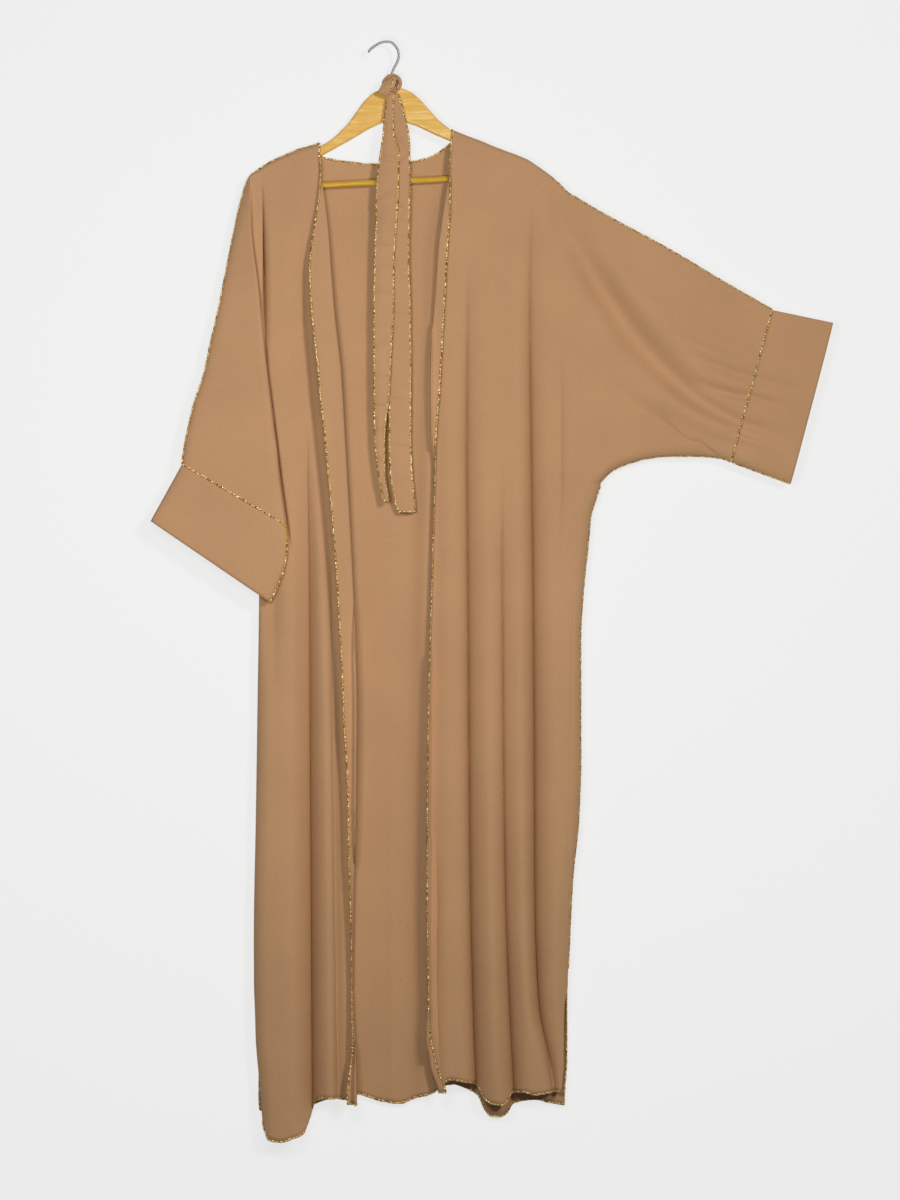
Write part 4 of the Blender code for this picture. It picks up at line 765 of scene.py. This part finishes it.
def front_grid(outward, edge, side_table, hem, underarm, panel):
    """Body grid of a front panel, from its fold line to the side seam."""
    c, inner = FRONT_COLUMNS, FRONT_INNER
    share = np.interp(c, range(inner + 1), FRONT_SHARE)
    inset, turn = (np.interp(c, range(inner, inner + 4), places) for places in (SIDE_INSET, SIDE_SHARE))

    def across(down):
        fold_x, side_x = edge.read("fold_x", down), side_table.read("x", down)
        end = side_x - outward * SIDE_ROUND
        flat = gather(fold_x + (end - fold_x) * share, down, panel[1], fold_x, end)
        return np.where(c <= inner, flat, side_x - outward * inset)

    tops = np.full(len(c), TOP_GUESS)
    for _ in range(TOP_PASSES):
        tops = SHOULDER.read("down", across(tops))
    hems = hem.read("down", across(np.full(len(c), HEM_GUESS)))
    last = inner + 3
    start = UNDERARM_LEFT - EDGE_ABOVE
    mids = start + (underarm - start) * ease(c / last)
    near = ease((c - last + HELD_NEAR_FRONT) / HELD_NEAR_FRONT) if outward > 0 else np.zeros(len(c))
    grid = body_grid(-1, across, tops, mids, hems, near, panel)
    return wrap_side(grid, side_table, outward, -1, turn, underarm)


def back_grid():
    """Body grid of the back, from the right side seam to the left one, with the neckline cut out."""
    last = len(BACK_STATIONS) - 1
    steps = [BACK_SIDE_STEPS if a < 3 or a >= last - 3 else max(2, math.ceil(gap / BACK_STEP) + 1)
             for a, gap in enumerate(np.diff(BACK_STATIONS))]
    c = np.concatenate([np.linspace(a, a + 1, step)[:-1] for a, step in enumerate(steps)] + [[last]])
    top_x = np.interp(c, range(last + 1), BACK_STATIONS)
    from_right, to_right = (np.interp(c, range(4), places[::-1]) for places in (SIDE_INSET, SIDE_SHARE))
    from_left, to_left = (np.interp(c, range(last - 3, last + 1), places)
                          for places in (SIDE_INSET, SIDE_SHARE))
    share = (c - 3) / (last - 6)

    def across(down):
        right, left = SIDE_RIGHT.read("x", down), SIDE_LEFT.read("x", down)
        level = right + SIDE_ROUND + (left - right - 2 * SIDE_ROUND) * share
        level = np.where(c < 3, right + from_right, np.where(c > last - 3, left - from_left, level))
        hung = top_x + (level - top_x) * ease((down - BACK_FROM) / BACK_FADE)
        return np.where((c == 0) | (c == last), level, hung)

    inside = (top_x > NECK_RIGHT) & (top_x < NECK_LEFT)
    tops = np.where(inside, NECKLINE.read("down", top_x), SHOULDER.read("down", top_x))
    mids = UNDERARM_RIGHT + (UNDERARM_LEFT - UNDERARM_RIGHT) * ease(c / last)
    hems = HEM_BACK.read("down", across(np.full(len(c), HEM_GUESS)))
    near = ease((c - last + HELD_NEAR_BACK) / HELD_NEAR_BACK)
    grid = body_grid(1, across, tops, mids, hems, near, BACK)
    grid = wrap_side(grid, SIDE_LEFT, 1, 1, to_left, UNDERARM_LEFT)
    return wrap_side(grid, SIDE_RIGHT, -1, 1, to_right, UNDERARM_RIGHT), inside


def cuff_grid(front_end, back_end, opening, fall, bulge=0.0):
    """A straight cuff: the sleeve end's own ring, carried to the flattened ring of its opening.

    Its folded side bulges outwards by bulge sin(pi t) share^8, t along the cuff and share across it.
    """
    ring_x, ring_down, ring_y = (np.concatenate((a, b[-2:0:-1])) for a, b in zip(front_end, back_end))
    span = (front_end[0][-1] - ring_x[0], front_end[1][-1] - ring_down[0])
    way = (ring_x - ring_x[0]) * span[0] + (ring_down - ring_down[0]) * span[1]
    half = int(np.argmax(way))
    share = np.clip(way / way[half], 0, 1)
    side = np.where(np.arange(len(ring_x)) <= half, -1.0, 1.0)
    side[[0, half]] = 0
    top, bottom, middle_y, half_depth = opening
    open_x, open_down = (a + (b - a) * share for a, b in zip(top, bottom))
    open_y = middle_y + side * half_depth * np.sqrt(np.clip(1 - (2 * share - 1) ** 4, 0, 1))
    lift = np.array(fall) / np.linalg.norm(fall) * CUFF_SEAM
    t = np.linspace(0, 1, CUFF_ROWS)[:, None]
    bulged = bulge * np.sin(math.pi * t) * share ** BULGE_POWER
    x = ring_x + lift[0] + (open_x - ring_x - lift[0]) * t + bulged
    down = ring_down + lift[1] + (open_down - ring_down - lift[1]) * t
    y = ring_y + (open_y - ring_y) * ease(t)
    return tuple(np.column_stack((part, part[:, 0])) for part in (x, down, y))


def column(grid, at):
    """One column of a grid."""
    return [part[:, at] for part in grid]


def points_of(grid):
    """A grid's points as an array of rows and columns, in mm with z up."""
    x, down, y = grid
    return np.stack((x, y, -down), axis=-1)


def add_object(name, data):
    """A new object in the scene that shows the data."""
    piece = bpy.data.objects.new(name, data)
    bpy.context.scene.collection.objects.link(piece)
    return piece


def add_mesh(name, mesh, material, replaced=()):
    """Join the mesh's doubled points, smooth it, and let it ride on the body in place of its nodes."""
    build = bmesh.new()
    build.from_mesh(mesh)
    bmesh.ops.remove_doubles(build, verts=build.verts, dist=WELD * MM)
    bmesh.ops.recalc_face_normals(build, faces=build.faces)
    build.to_mesh(mesh)
    build.free()
    mesh.polygons.foreach_set("use_smooth", np.ones(len(mesh.polygons), dtype=bool))
    mesh.materials.append(material)
    piece = add_object(name, mesh)
    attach(piece, BODY)
    if replaced:
        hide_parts(*replaced)
    return piece


def add_piece(name, parts, material, replaced=()):
    """One smooth mesh from arrays of points, rows by columns in mm, joined where they share points."""
    points, quads, start = [], [], 0
    for part in parts:
        index = start + np.arange(part.shape[0] * part.shape[1]).reshape(part.shape[:2])
        corners = (index[:-1, :-1], index[1:, :-1], index[1:, 1:], index[:-1, 1:])
        quads.append(np.stack(corners, -1).reshape(-1, 4))
        points.append(part.reshape(-1, 3) * MM)
        start += index.size
    mesh = bpy.data.meshes.new(name)
    mesh.from_pydata(np.concatenate(points), [], np.concatenate(quads))
    return add_mesh(name, mesh, material, replaced)


def add_cloth(name, grids, replaced, flat, area, rests_on):
    """A cloth piece: a thin shell on its own surface; the size it was cut to is passed but not used."""
    piece = add_piece(name, [points_of(grid) for grid in grids], CREPE, [replaced])
    wall = piece.modifiers.new("wall", "SOLIDIFY")
    wall.thickness = CREPE_WALL * MM
    wall.offset = 0
    wall.use_even_offset = False


def border(grid, place, part=slice(None)):
    """Points along one border of a grid, and the way from them into the cloth."""
    points = points_of(grid)
    lines = {"top": (points[0], points[2]), "bottom": (points[-1], points[-3]),
             "first": (points[:, 0], points[:, 2]), "last": (points[:, -1], points[:, -3])}
    edge, inside = lines[place]
    return edge[part], (inside - edge)[part]


def unit(vectors):
    """The same ways, one long each."""
    return vectors / np.maximum(np.linalg.norm(vectors, axis=-1, keepdims=True), TINY)


def running_length(points):
    """Length of a line of points up to each of them."""
    return np.concatenate(([0], np.cumsum(np.linalg.norm(np.diff(points, axis=0), axis=1))))


def wander(at, pitch, random):
    """Smooth uneven values between -1 and 1 along a line, with a knot at every pitch."""
    knots = np.arange(0, at[-1] + 2 * pitch, pitch)
    return smooth_through(knots, random.uniform(-1, 1, len(knots)), at)


def crossways(line, side):
    """Unit ways across a line: side, made square to it, and the third way."""
    along = unit(np.gradient(line, axis=0))
    side = unit(side - along * (side * along).sum(axis=1, keepdims=True))
    return side, np.cross(along, side)


def ovals(line, ways, half_wide, half_deep, about, ridges=0.0, count=5):
    """Closed ovals about a line, half_wide and half_deep in its two ways across, with soft ridges."""
    turn = np.linspace(0, 2 * math.pi, about + 1)
    ridge = 1 + ridges * np.cos(count * turn)
    across, up = (shape * ridge * np.broadcast_to(half, len(line))[:, None]
                  for shape, half in ((np.cos(turn), half_wide), (np.sin(turn), half_deep)))
    return line[:, None] + ways[0][:, None] * across[..., None] + ways[1][:, None] * up[..., None]


def tube(line, side, half_wide, half_deep, **rings):
    """Ovals along a line, half_wide along side and half_deep in the third way."""
    return ovals(line, crossways(line, side), half_wide, half_deep, **rings)


def ribbon(edge, inward, random, half=THREAD_HALF, thick=THREAD_THICK, shift=THREAD_SHIFT):
    """Overlock thread along a line: oval sections that swell with each stitch and wander a little.

    half is the half width into the cloth, thick the half thickness, shift the way inwards in half widths.
    """
    length = running_length(edge)
    keep = np.concatenate(([True], np.diff(length) > LEAST_STEP))
    at = np.linspace(0, length[-1], max(4, int(length[-1] / THREAD_STEP)))
    line = smooth_through(length[keep], edge[keep], at)
    side, normal = crossways(line, smooth_through(length[keep], inward[keep], at))
    drift, uneven, sway = (much * wander(at, pitch, random) for much, pitch in THREAD_WANDERS)
    stitch = 1 + STITCH_SWELL * np.sin(2 * math.pi * at / STITCH_PITCH + drift)
    stitch = stitch + uneven
    line = line + side * (half * shift + sway)[:, None]
    size = stitch * np.sqrt(np.clip(np.minimum(at, length[-1] - at) / THREAD_END, THREAD_TIP, 1))
    return ovals(line, (side, normal), size * half, size * thick, THREAD_SIDES)


def closed_ends(points):
    """The same rings with both end rings drawn in to their middles, so that the skin is closed."""
    caps = [np.broadcast_to(ring.mean(axis=0), ring.shape) for ring in (points[0], points[-1])]
    return np.concatenate((caps[:1], points, caps[1:]))


def belt_strip(table, bulge, puckers, random):
    """A hanging belt tail: a strip between its edges, bowed towards the viewer, with small puckers."""
    top, low = table.rows[0, 0], table.rows[-1, 0]
    down = np.linspace(top, low, int((low - top) / BELT_STEP))[:, None]
    share = np.linspace(0, 1, BELT_COLUMNS)
    left, right, middle = (table.read(name, down) for name in ("left", "right", "y"))
    x = left + (right - left) * share
    y = middle - bulge * (1 - (2 * share - 1) ** 2)
    place = down + PUCKER_SLANT * (share - 0.5)
    rounded = (1 - PUCKER_ROUND) + PUCKER_ROUND * np.cos(math.pi * (share - 0.5))
    for row, height, tilt in puckers.rows:
        near = np.exp(-((place - row - tilt * (share - 0.5)) / PUCKER_HALF) ** 2)
        y = y - PUCKER_HEIGHT * height * near * rounded
    twist, pitch = BELT_TWIST
    drift = wander(np.linspace(0, low - top, len(down)), pitch, random)[:, None]
    y = y - twist * drift * np.cos(2 * math.pi * share)
    return x, np.broadcast_to(down, x.shape).copy(), y


def wood_shape():
    """The flat wooden shape: its outline, smoothed, filled and given rounded edges by a flat curve."""
    half = WOOD_OUTLINE.rows
    outline = np.concatenate((half, half[-2:0:-1] * (-1, 1), half[:1]))
    length = running_length(outline)
    at = np.linspace(0, length[-1], WOOD_POINTS + 1)[:-1]
    line = np.stack([np.interp(at, length, column) for column in outline.T], axis=-1)
    for _ in range(WOOD_SMOOTHING):
        line = (np.roll(line, 1, axis=0) + 2 * line + np.roll(line, -1, axis=0)) / 4
    data = bpy.data.curves.new("wood", "CURVE")
    data.dimensions = "2D"
    data.fill_mode = "BOTH"
    data.extrude = (WOOD_THICK / 2 - WOOD_ROUND) * MM
    data.bevel_depth = WOOD_ROUND * MM
    data.bevel_resolution = WOOD_ROUND_STEPS
    data.offset = -WOOD_ROUND * MM
    spline = data.splines.new("POLY")
    spline.points.add(len(line) - 1)
    across, drop = line.T * MM
    spline.points.foreach_set("co", np.stack((across, -drop, 0 * across, 1 + 0 * across), axis=-1).ravel())
    spline.use_cyclic_u = True
    drawn = add_object("wood", data)
    mesh = bpy.data.meshes.new_from_object(drawn.evaluated_get(bpy.context.evaluated_depsgraph_get()))
    bpy.data.objects.remove(drawn)
    place = Matrix.Translation((HANGER_TOP[0] * MM, 0, HANGER_TOP[1] * MM))
    mesh.transform(place @ Matrix.Rotation(-HANGER_TILT, 4, "Y") @ Matrix.Rotation(math.pi / 2, 4, "X"))
    return mesh


def new_material(name, **values):
    """A material and its shader, with plain values set straight on the shader's sockets."""
    material = bpy.data.materials.new(name)
    material.use_nodes = True
    shader = material.node_tree.nodes["Principled BSDF"]
    for key, value in values.items():
        shader.inputs[key.replace("_", " ")].default_value = value
    return material, material.node_tree, shader


def add_node(tree, kind, inputs=None, **settings):
    """A shader node with values on its inputs by name or number, and settings of its own."""
    node = tree.nodes.new("ShaderNode" + kind)
    for key, value in settings.items():
        setattr(node, key, value)
    for key, value in (inputs or {}).items():
        node.inputs[key].default_value = value
    return node


def links(tree, *wires):
    """Wires between nodes, each as the source, its output, the target and its input."""
    for source, output, target, socket in wires:
        tree.links.new(source.outputs[output], target.inputs[socket])


def ramp(tree, stops):
    """A colour ramp from (place, colour) stops."""
    node = add_node(tree, "ValToRGB")
    elements = node.color_ramp.elements
    while len(elements) < len(stops):
        elements.new(1.0)
    for element, (place, colour) in zip(elements, stops):
        element.position = place
        element.color = (*colour, 1)
    return node


def crepe_material():
    """Camel crepe: a fine puckered grain in the bump, and slightly uneven dye."""
    material, tree, shader = new_material("crepe", Roughness=0.9, Specular_IOR_Level=0.1)
    place = add_node(tree, "TexCoord")
    stretch = add_node(tree, "Mapping", {"Scale": (1, 1, 0.6)})
    grain = add_node(tree, "TexNoise", {"Scale": 950, "Detail": 2, "Roughness": 0.6})
    patch = add_node(tree, "TexNoise", {"Scale": 9, "Detail": 3})
    mix = add_node(tree, "Math", {1: 0.45}, operation="MULTIPLY")
    total = add_node(tree, "Math", operation="ADD")
    shade = ramp(tree, [(at, tuple(share * c for c in CREPE_COLOUR)) for at, share in CREPE_SHADES])
    bump = add_node(tree, "Bump", {"Strength": 0.14, "Distance": 0.0005})
    links(tree, (place, "Object", stretch, "Vector"), (stretch, "Vector", grain, "Vector"),
          (place, "Object", patch, "Vector"), (patch, "Fac", mix, 0), (mix, 0, total, 0),
          (grain, "Fac", total, 1), (total, 0, shade, "Fac"), (shade, "Color", shader, "Base Color"),
          (grain, "Fac", bump, "Height"), (bump, "Normal", shader, "Normal"))
    return material


def thread_material():
    """Metallic overlock thread: small facets of random tilt that glitter, and a random tone whose
    near-white cells are painted glints.
    """
    material, tree, shader = new_material("metallic_thread", Metallic=0.2, Roughness=0.3,
                                          Specular_IOR_Level=0.25)
    place = add_node(tree, "TexCoord")
    cell = add_node(tree, "TexVoronoi", {"Scale": 700})
    # Cell tones: the thread's own uneven gold, with painted glints in the brightest cells
    tone = ramp(tree, THREAD_TONES_AND_GLINTS)
    split = add_node(tree, "SeparateColor")
    middle = add_node(tree, "VectorMath", {1: (0.5, 0.5, 0.5)}, operation="SUBTRACT")
    tilt = add_node(tree, "VectorMath", {"Scale": 1.1}, operation="SCALE")
    face = add_node(tree, "NewGeometry")
    added = add_node(tree, "VectorMath", operation="ADD")
    turned = add_node(tree, "VectorMath", operation="NORMALIZE")
    links(tree, (place, "Object", cell, "Vector"), (cell, "Color", split, "Color"),
          (split, "Red", tone, "Fac"), (tone, "Color", shader, "Base Color"), (cell, "Color", middle, 0),
          (middle, "Vector", tilt, 0), (tilt, "Vector", added, 0), (face, "Normal", added, 1),
          (added, "Vector", turned, 0), (turned, "Vector", shader, "Normal"))
    return material


def wood_material(name, tones):
    """Honey-coloured varnish over a light wood whose grain runs across the hanger."""
    material, tree, shader = new_material(name, Roughness=0.5, Coat_Weight=0.25, Coat_Roughness=0.1,
                                          Specular_IOR_Level=0.15)
    place = add_node(tree, "TexCoord")
    stretch = add_node(tree, "Mapping", {"Scale": (6, 60, 60)})
    grain = add_node(tree, "TexNoise", {"Scale": 4, "Detail": 5, "Roughness": 0.65, "Distortion": 0.4})
    tone = ramp(tree, list(zip(TONE_PLACES, tones)))
    links(tree, (place, "Object", stretch, "Vector"), (stretch, "Vector", grain, "Vector"),
          (grain, "Fac", tone, "Fac"), (tone, "Color", shader, "Base Color"))
    return material


CREPE = crepe_material()
THREAD = thread_material()
WOOD = wood_material("varnished_wood", WOOD_TONES)
BAR = wood_material("varnished_bar", BAR_TONES)
WIRE = new_material("plated_wire", Metallic=1.0, Roughness=0.5, Base_Color=WIRE_COLOUR)[0]

# The cloth: the three panels, each with its half of the sleeves, the cuffs and the belt's tails
left_body = front_grid(1, EDGE_LEFT, SIDE_LEFT, HEM_LEFT_FRONT, UNDERARM_LEFT, LEFT)
left_sleeve = held_sleeve(-1, LEFT, column(left_body, -1))
left_panel = turned_edge(EDGE_LEFT, 1, left_body, FOLDS_FRONT_LEFT, FLAP_LIFT_LEFT)
right_body = front_grid(-1, EDGE_RIGHT, SIDE_RIGHT, HEM_RIGHT_FRONT, UNDERARM_RIGHT, RIGHT)
right_sleeve = hanging_front(column(right_body, -1))
right_panel = turned_edge(EDGE_RIGHT, -1, right_body, FOLDS_FRONT_RIGHT, FLAP_LIFT_RIGHT)
back_body, in_neck = back_grid()
back_held = held_sleeve(1, BACK, column(back_body, -1))
back_hung = hanging_back(column(back_body, 0))
left_cuff = cuff_grid(column(left_sleeve, -1), column(back_held, -1), CUFF_LEFT_OPENING, CUFF_LEFT_FALL)
right_cuff = cuff_grid([part[-1, ::-1] for part in right_sleeve], [part[-1, ::-1] for part in back_hung],
                       CUFF_RIGHT_OPENING, CUFF_RIGHT_FALL, CUFF_BULGE)
belt_random = np.random.default_rng(BELT_SEED)
front_tail = belt_strip(BELT_FRONT, BELT_BULGE, BELT_FRONT_PUCKERS, belt_random)
back_tail = belt_strip(BELT_BACK, BELT_BULGE / 2, BELT_BACK_PUCKERS, belt_random)

# Each cloth: name, grids, node replaced, flat size and area in metres, and what it hangs on
CLOTHS = [
    ("cloth_front_left", [left_panel, left_sleeve], "front_left", (0.60, 1.50), 0.432, "hanger_wood"),
    ("cloth_front_right", [right_panel, right_sleeve], "front_right", (0.50, 1.50), 0.32, "hanger_wood"),
    ("cloth_back", [back_body, back_held, back_hung], "back", (1.20, 1.50), 0.805, "hanger_wood"),
    ("cloth_cuff_left", [left_cuff], "cuff_left", (0.50, 0.094), None, "cloth_front_left"),
    ("cloth_cuff_right", [right_cuff], "cuff_right", (0.50, 0.082), None, "cloth_front_right"),
    ("belt_tail_front_cloth", [front_tail], "belt_tail_front", (0.034, 0.612), None, "belt_knot"),
    ("belt_tail_back_cloth", [back_tail], "belt_tail_back", (0.036, 0.626), None, "belt_knot")]
for cloth in CLOTHS:
    add_cloth(*cloth)

# The knot round the hook's neck: the loop, the bow, the curl and the wrap
turn = np.linspace(0, 2 * math.pi, KNOT_STEPS)
thick = 1 + LOOP_UNEVEN * np.sin(3 * turn + LOOP_PHASE)
around = np.stack((LOOP_FLAT * np.cos(turn), np.sin(turn), LOOP_LEAN * np.cos(turn)), axis=-1)
loop_line = LOOP_MIDDLE + around * (LOOP_HOLE + LOOP_WIDE / 2 * thick)[:, None]
loop = tube(loop_line, around, LOOP_WIDE / 2 * thick, LOOP_TALL / 2 * thick, about=24, ridges=0.06)
at = np.linspace(0, len(BELT_WRAP.rows) - 1, WRAP_STEPS)
wrap_x, wrap_down, wrap_y, wrap_wide, wrap_deep = (BELT_WRAP.read(name, at) for name in BELT_WRAP.names[1:])
wrap_line = points_of((wrap_x, wrap_down, wrap_y))
wrap = tube(wrap_line, (1, 0, 1), wrap_wide, wrap_deep, about=28, ridges=0.07, count=7)
facing = np.stack((np.cos(turn), 0 * turn, np.sin(turn)), axis=-1)
bow_wide = BOW_WIDE * (1 + BOW_UNEVEN * np.sin(2 * turn))
bow = tube(BOW_MIDDLE + facing * BOW_RADII, facing, bow_wide, BOW_DEEP, about=20, ridges=0.05)
curl_line = CURL_MIDDLE + facing * CURL_RADII
curl = tube(curl_line, facing, CURL_WIDE, CURL_DEEP, about=14)
add_piece("belt_knot", [loop, bow, curl, closed_ends(wrap)], CREPE, ["belt_loop", "belt_wrap"])

# The hanger: wood, bar and wire
add_mesh("hanger_wood_shape", wood_shape(), WOOD, ["hanger_wood"])
bar_at = np.linspace(-BAR_HALF, BAR_HALF, BAR_STEPS)
cos, sin = math.cos(HANGER_TILT), math.sin(HANGER_TILT)
bar_line = np.stack((HANGER_TOP[0] + bar_at * cos + BAR_DROP * sin, 0 * bar_at,
                     HANGER_TOP[1] + bar_at * sin - BAR_DROP * cos), axis=-1)
bar = tube(bar_line, (0, 1, 0), BAR_RADIUS, BAR_RADIUS, about=BAR_SIDES)
add_piece("hanger_bar_dowel", [closed_ends(bar)], BAR, ["hanger_bar"])
hook_length = running_length(HOOK.rows)
hook_at = np.linspace(0, hook_length[-1], WIRE_STEPS)
hook_x, hook_down = smooth_through(hook_length, HOOK.rows, hook_at).T
hook_line = points_of((hook_x, hook_down, 0 * hook_at))
for _ in range(WIRE_SMOOTHING):
    hook_line[1:-1] = (hook_line[:-2] + 2 * hook_line[1:-1] + hook_line[2:]) / 4
hook_radius = WIRE_RADIUS * np.sqrt(np.clip(hook_at / WIRE_RADIUS, WIRE_TIP, 1))
hook = tube(hook_line, (0, 1, 0), hook_radius, hook_radius, about=WIRE_SIDES)
add_piece("hook_wire_smooth", [closed_ends(hook)], WIRE, ["hanger_hook"])

# Metallic overlocking along every free edge and seam: a grid, its border and, where not all, the part
above_slit = np.flatnonzero(back_body[1][:, -1] < SLIT_TOP)
slit = slice(int(above_slit[-1]), None)
side = slice(UNDERARM_AT, int(above_slit[-1]) + 1)
neck_part = slice(*(int(np.flatnonzero(in_neck)[end]) for end in (0, -1)))
EDGINGS = {
    "edging_fronts": [(left_panel, "first"), (right_panel, "first")],
    "edging_hems": [(left_panel, "bottom"), (right_panel, "bottom"), (back_body, "bottom"),
                    (left_body, "last", slit), (right_body, "last", slit), (back_body, "last", slit),
                    (back_body, "first", slit)],
    "edging_shoulders": [(left_panel, "top"), (right_panel, "top"), (left_sleeve, "top"),
                         (right_sleeve, "last"), (right_sleeve, "top"), (back_body, "top", neck_part)],
    "edging_sides": [(left_body, "last", side), (right_body, "last", side), (left_sleeve, "bottom"),
                     (right_sleeve, "first", slice(UNDERARM_AT, None))],
    "edging_cuffs": [(left_sleeve, "last"), (back_held, "last"), (right_sleeve, "bottom"),
                     (back_hung, "bottom")],
    "edging_belt": [(front_tail, "first"), (front_tail, "last"), (back_tail, "first"), (back_tail, "last"),
                    (front_tail, "bottom"), (back_tail, "bottom")]}

# More lines of it, with sizes of their own: along the cuffs' seams, and on the knot, where the numbers are
# the columns of its rings that hold the thread and that it points to
on_seam = {"shift": 0.0, "thick": SEAM_THREAD_THICK}
extra = {"edging_cuffs": ([], on_seam), "edging_belt": ([], {"half": KNOT_THREAD})}
for ring, first, inner in ((bow[BOW_RIM], 5, 7), (wrap[2:-1], 4, 2), (wrap[2:-1], 24, 26)):
    extra["edging_belt"][0].append((ring[:, first], ring[:, inner] - ring[:, first]))
extra["edging_belt"][0].append((curl_line, -facing))
for cuff in (left_cuff, right_cuff):
    cuff_points, seam = points_of(cuff), int(np.argmax(cuff[1][-1]))
    extra["edging_cuffs"][0].append((cuff_points[:, seam], cuff_points[:, seam - 2] - cuff_points[:, seam]))
thread_random = np.random.default_rng(THREAD_SEED)
for name, lines in EDGINGS.items():
    sizes = on_seam if name in SEAM_EDGINGS else {}
    ribbons = [ribbon(*border(*line), thread_random, **sizes) for line in lines]
    more, sizes = extra.get(name, ([], {}))
    ribbons += [ribbon(*line, thread_random, **sizes) for line in more]
    add_piece(name, ribbons, THREAD)

# The stage: a pale wall close behind that glows and is clear from its back, a weak light near the front,
# a strong one from the upper right, and no floor
material, tree, shader = new_material(
    "wall_paint", Roughness=0.9, Base_Color=WALL_COLOUR, Emission_Color=WALL_GLOW, Emission_Strength=1.0,
    Specular_IOR_Level=0.0)
clear, face, choice = (add_node(tree, kind) for kind in ("BsdfTransparent", "NewGeometry", "MixShader"))
links(tree, (face, "Backfacing", choice, "Fac"), (shader, 0, choice, 1), (clear, 0, choice, 2),
      (choice, 0, tree.nodes["Material Output"], 0))
wall = bpy.data.meshes.new("wall")
wall.from_pydata(WALL_CORNERS, [], [(0, 1, 2, 3)])
wall.materials.append(material)
add_object("wall", wall)

for name, place, target, size, energy, colour in LIGHTS:
    data = bpy.data.lights.new(name, "AREA")
    data.shape = "RECTANGLE"
    data.size, data.size_y = size
    data.energy = energy
    data.color = colour
    light = add_object(name, data)
    light.location = place
    way = np.array(place) - np.array(target)
    lean, heading = math.acos(way[2] / np.linalg.norm(way)), math.atan2(way[1], way[0])
    light.rotation_euler = (lean, 0, heading + math.pi / 2)
world = bpy.data.worlds.new("studio")
world.use_nodes = True
world.node_tree.nodes["Background"].inputs["Color"].default_value = WORLD_COLOUR
world.node_tree.nodes["Background"].inputs["Strength"].default_value = WORLD_STRENGTH
bpy.context.scene.world = world
bpy.context.scene.view_settings.view_transform = "Standard"

lens = bpy.data.cameras.new("camera")
lens.lens = CAMERA_LENS
camera = add_object("camera", lens)
camera.location = CAMERA_PLACE
camera.rotation_euler = (math.pi / 2, 0, 0)
bpy.context.scene.camera = camera
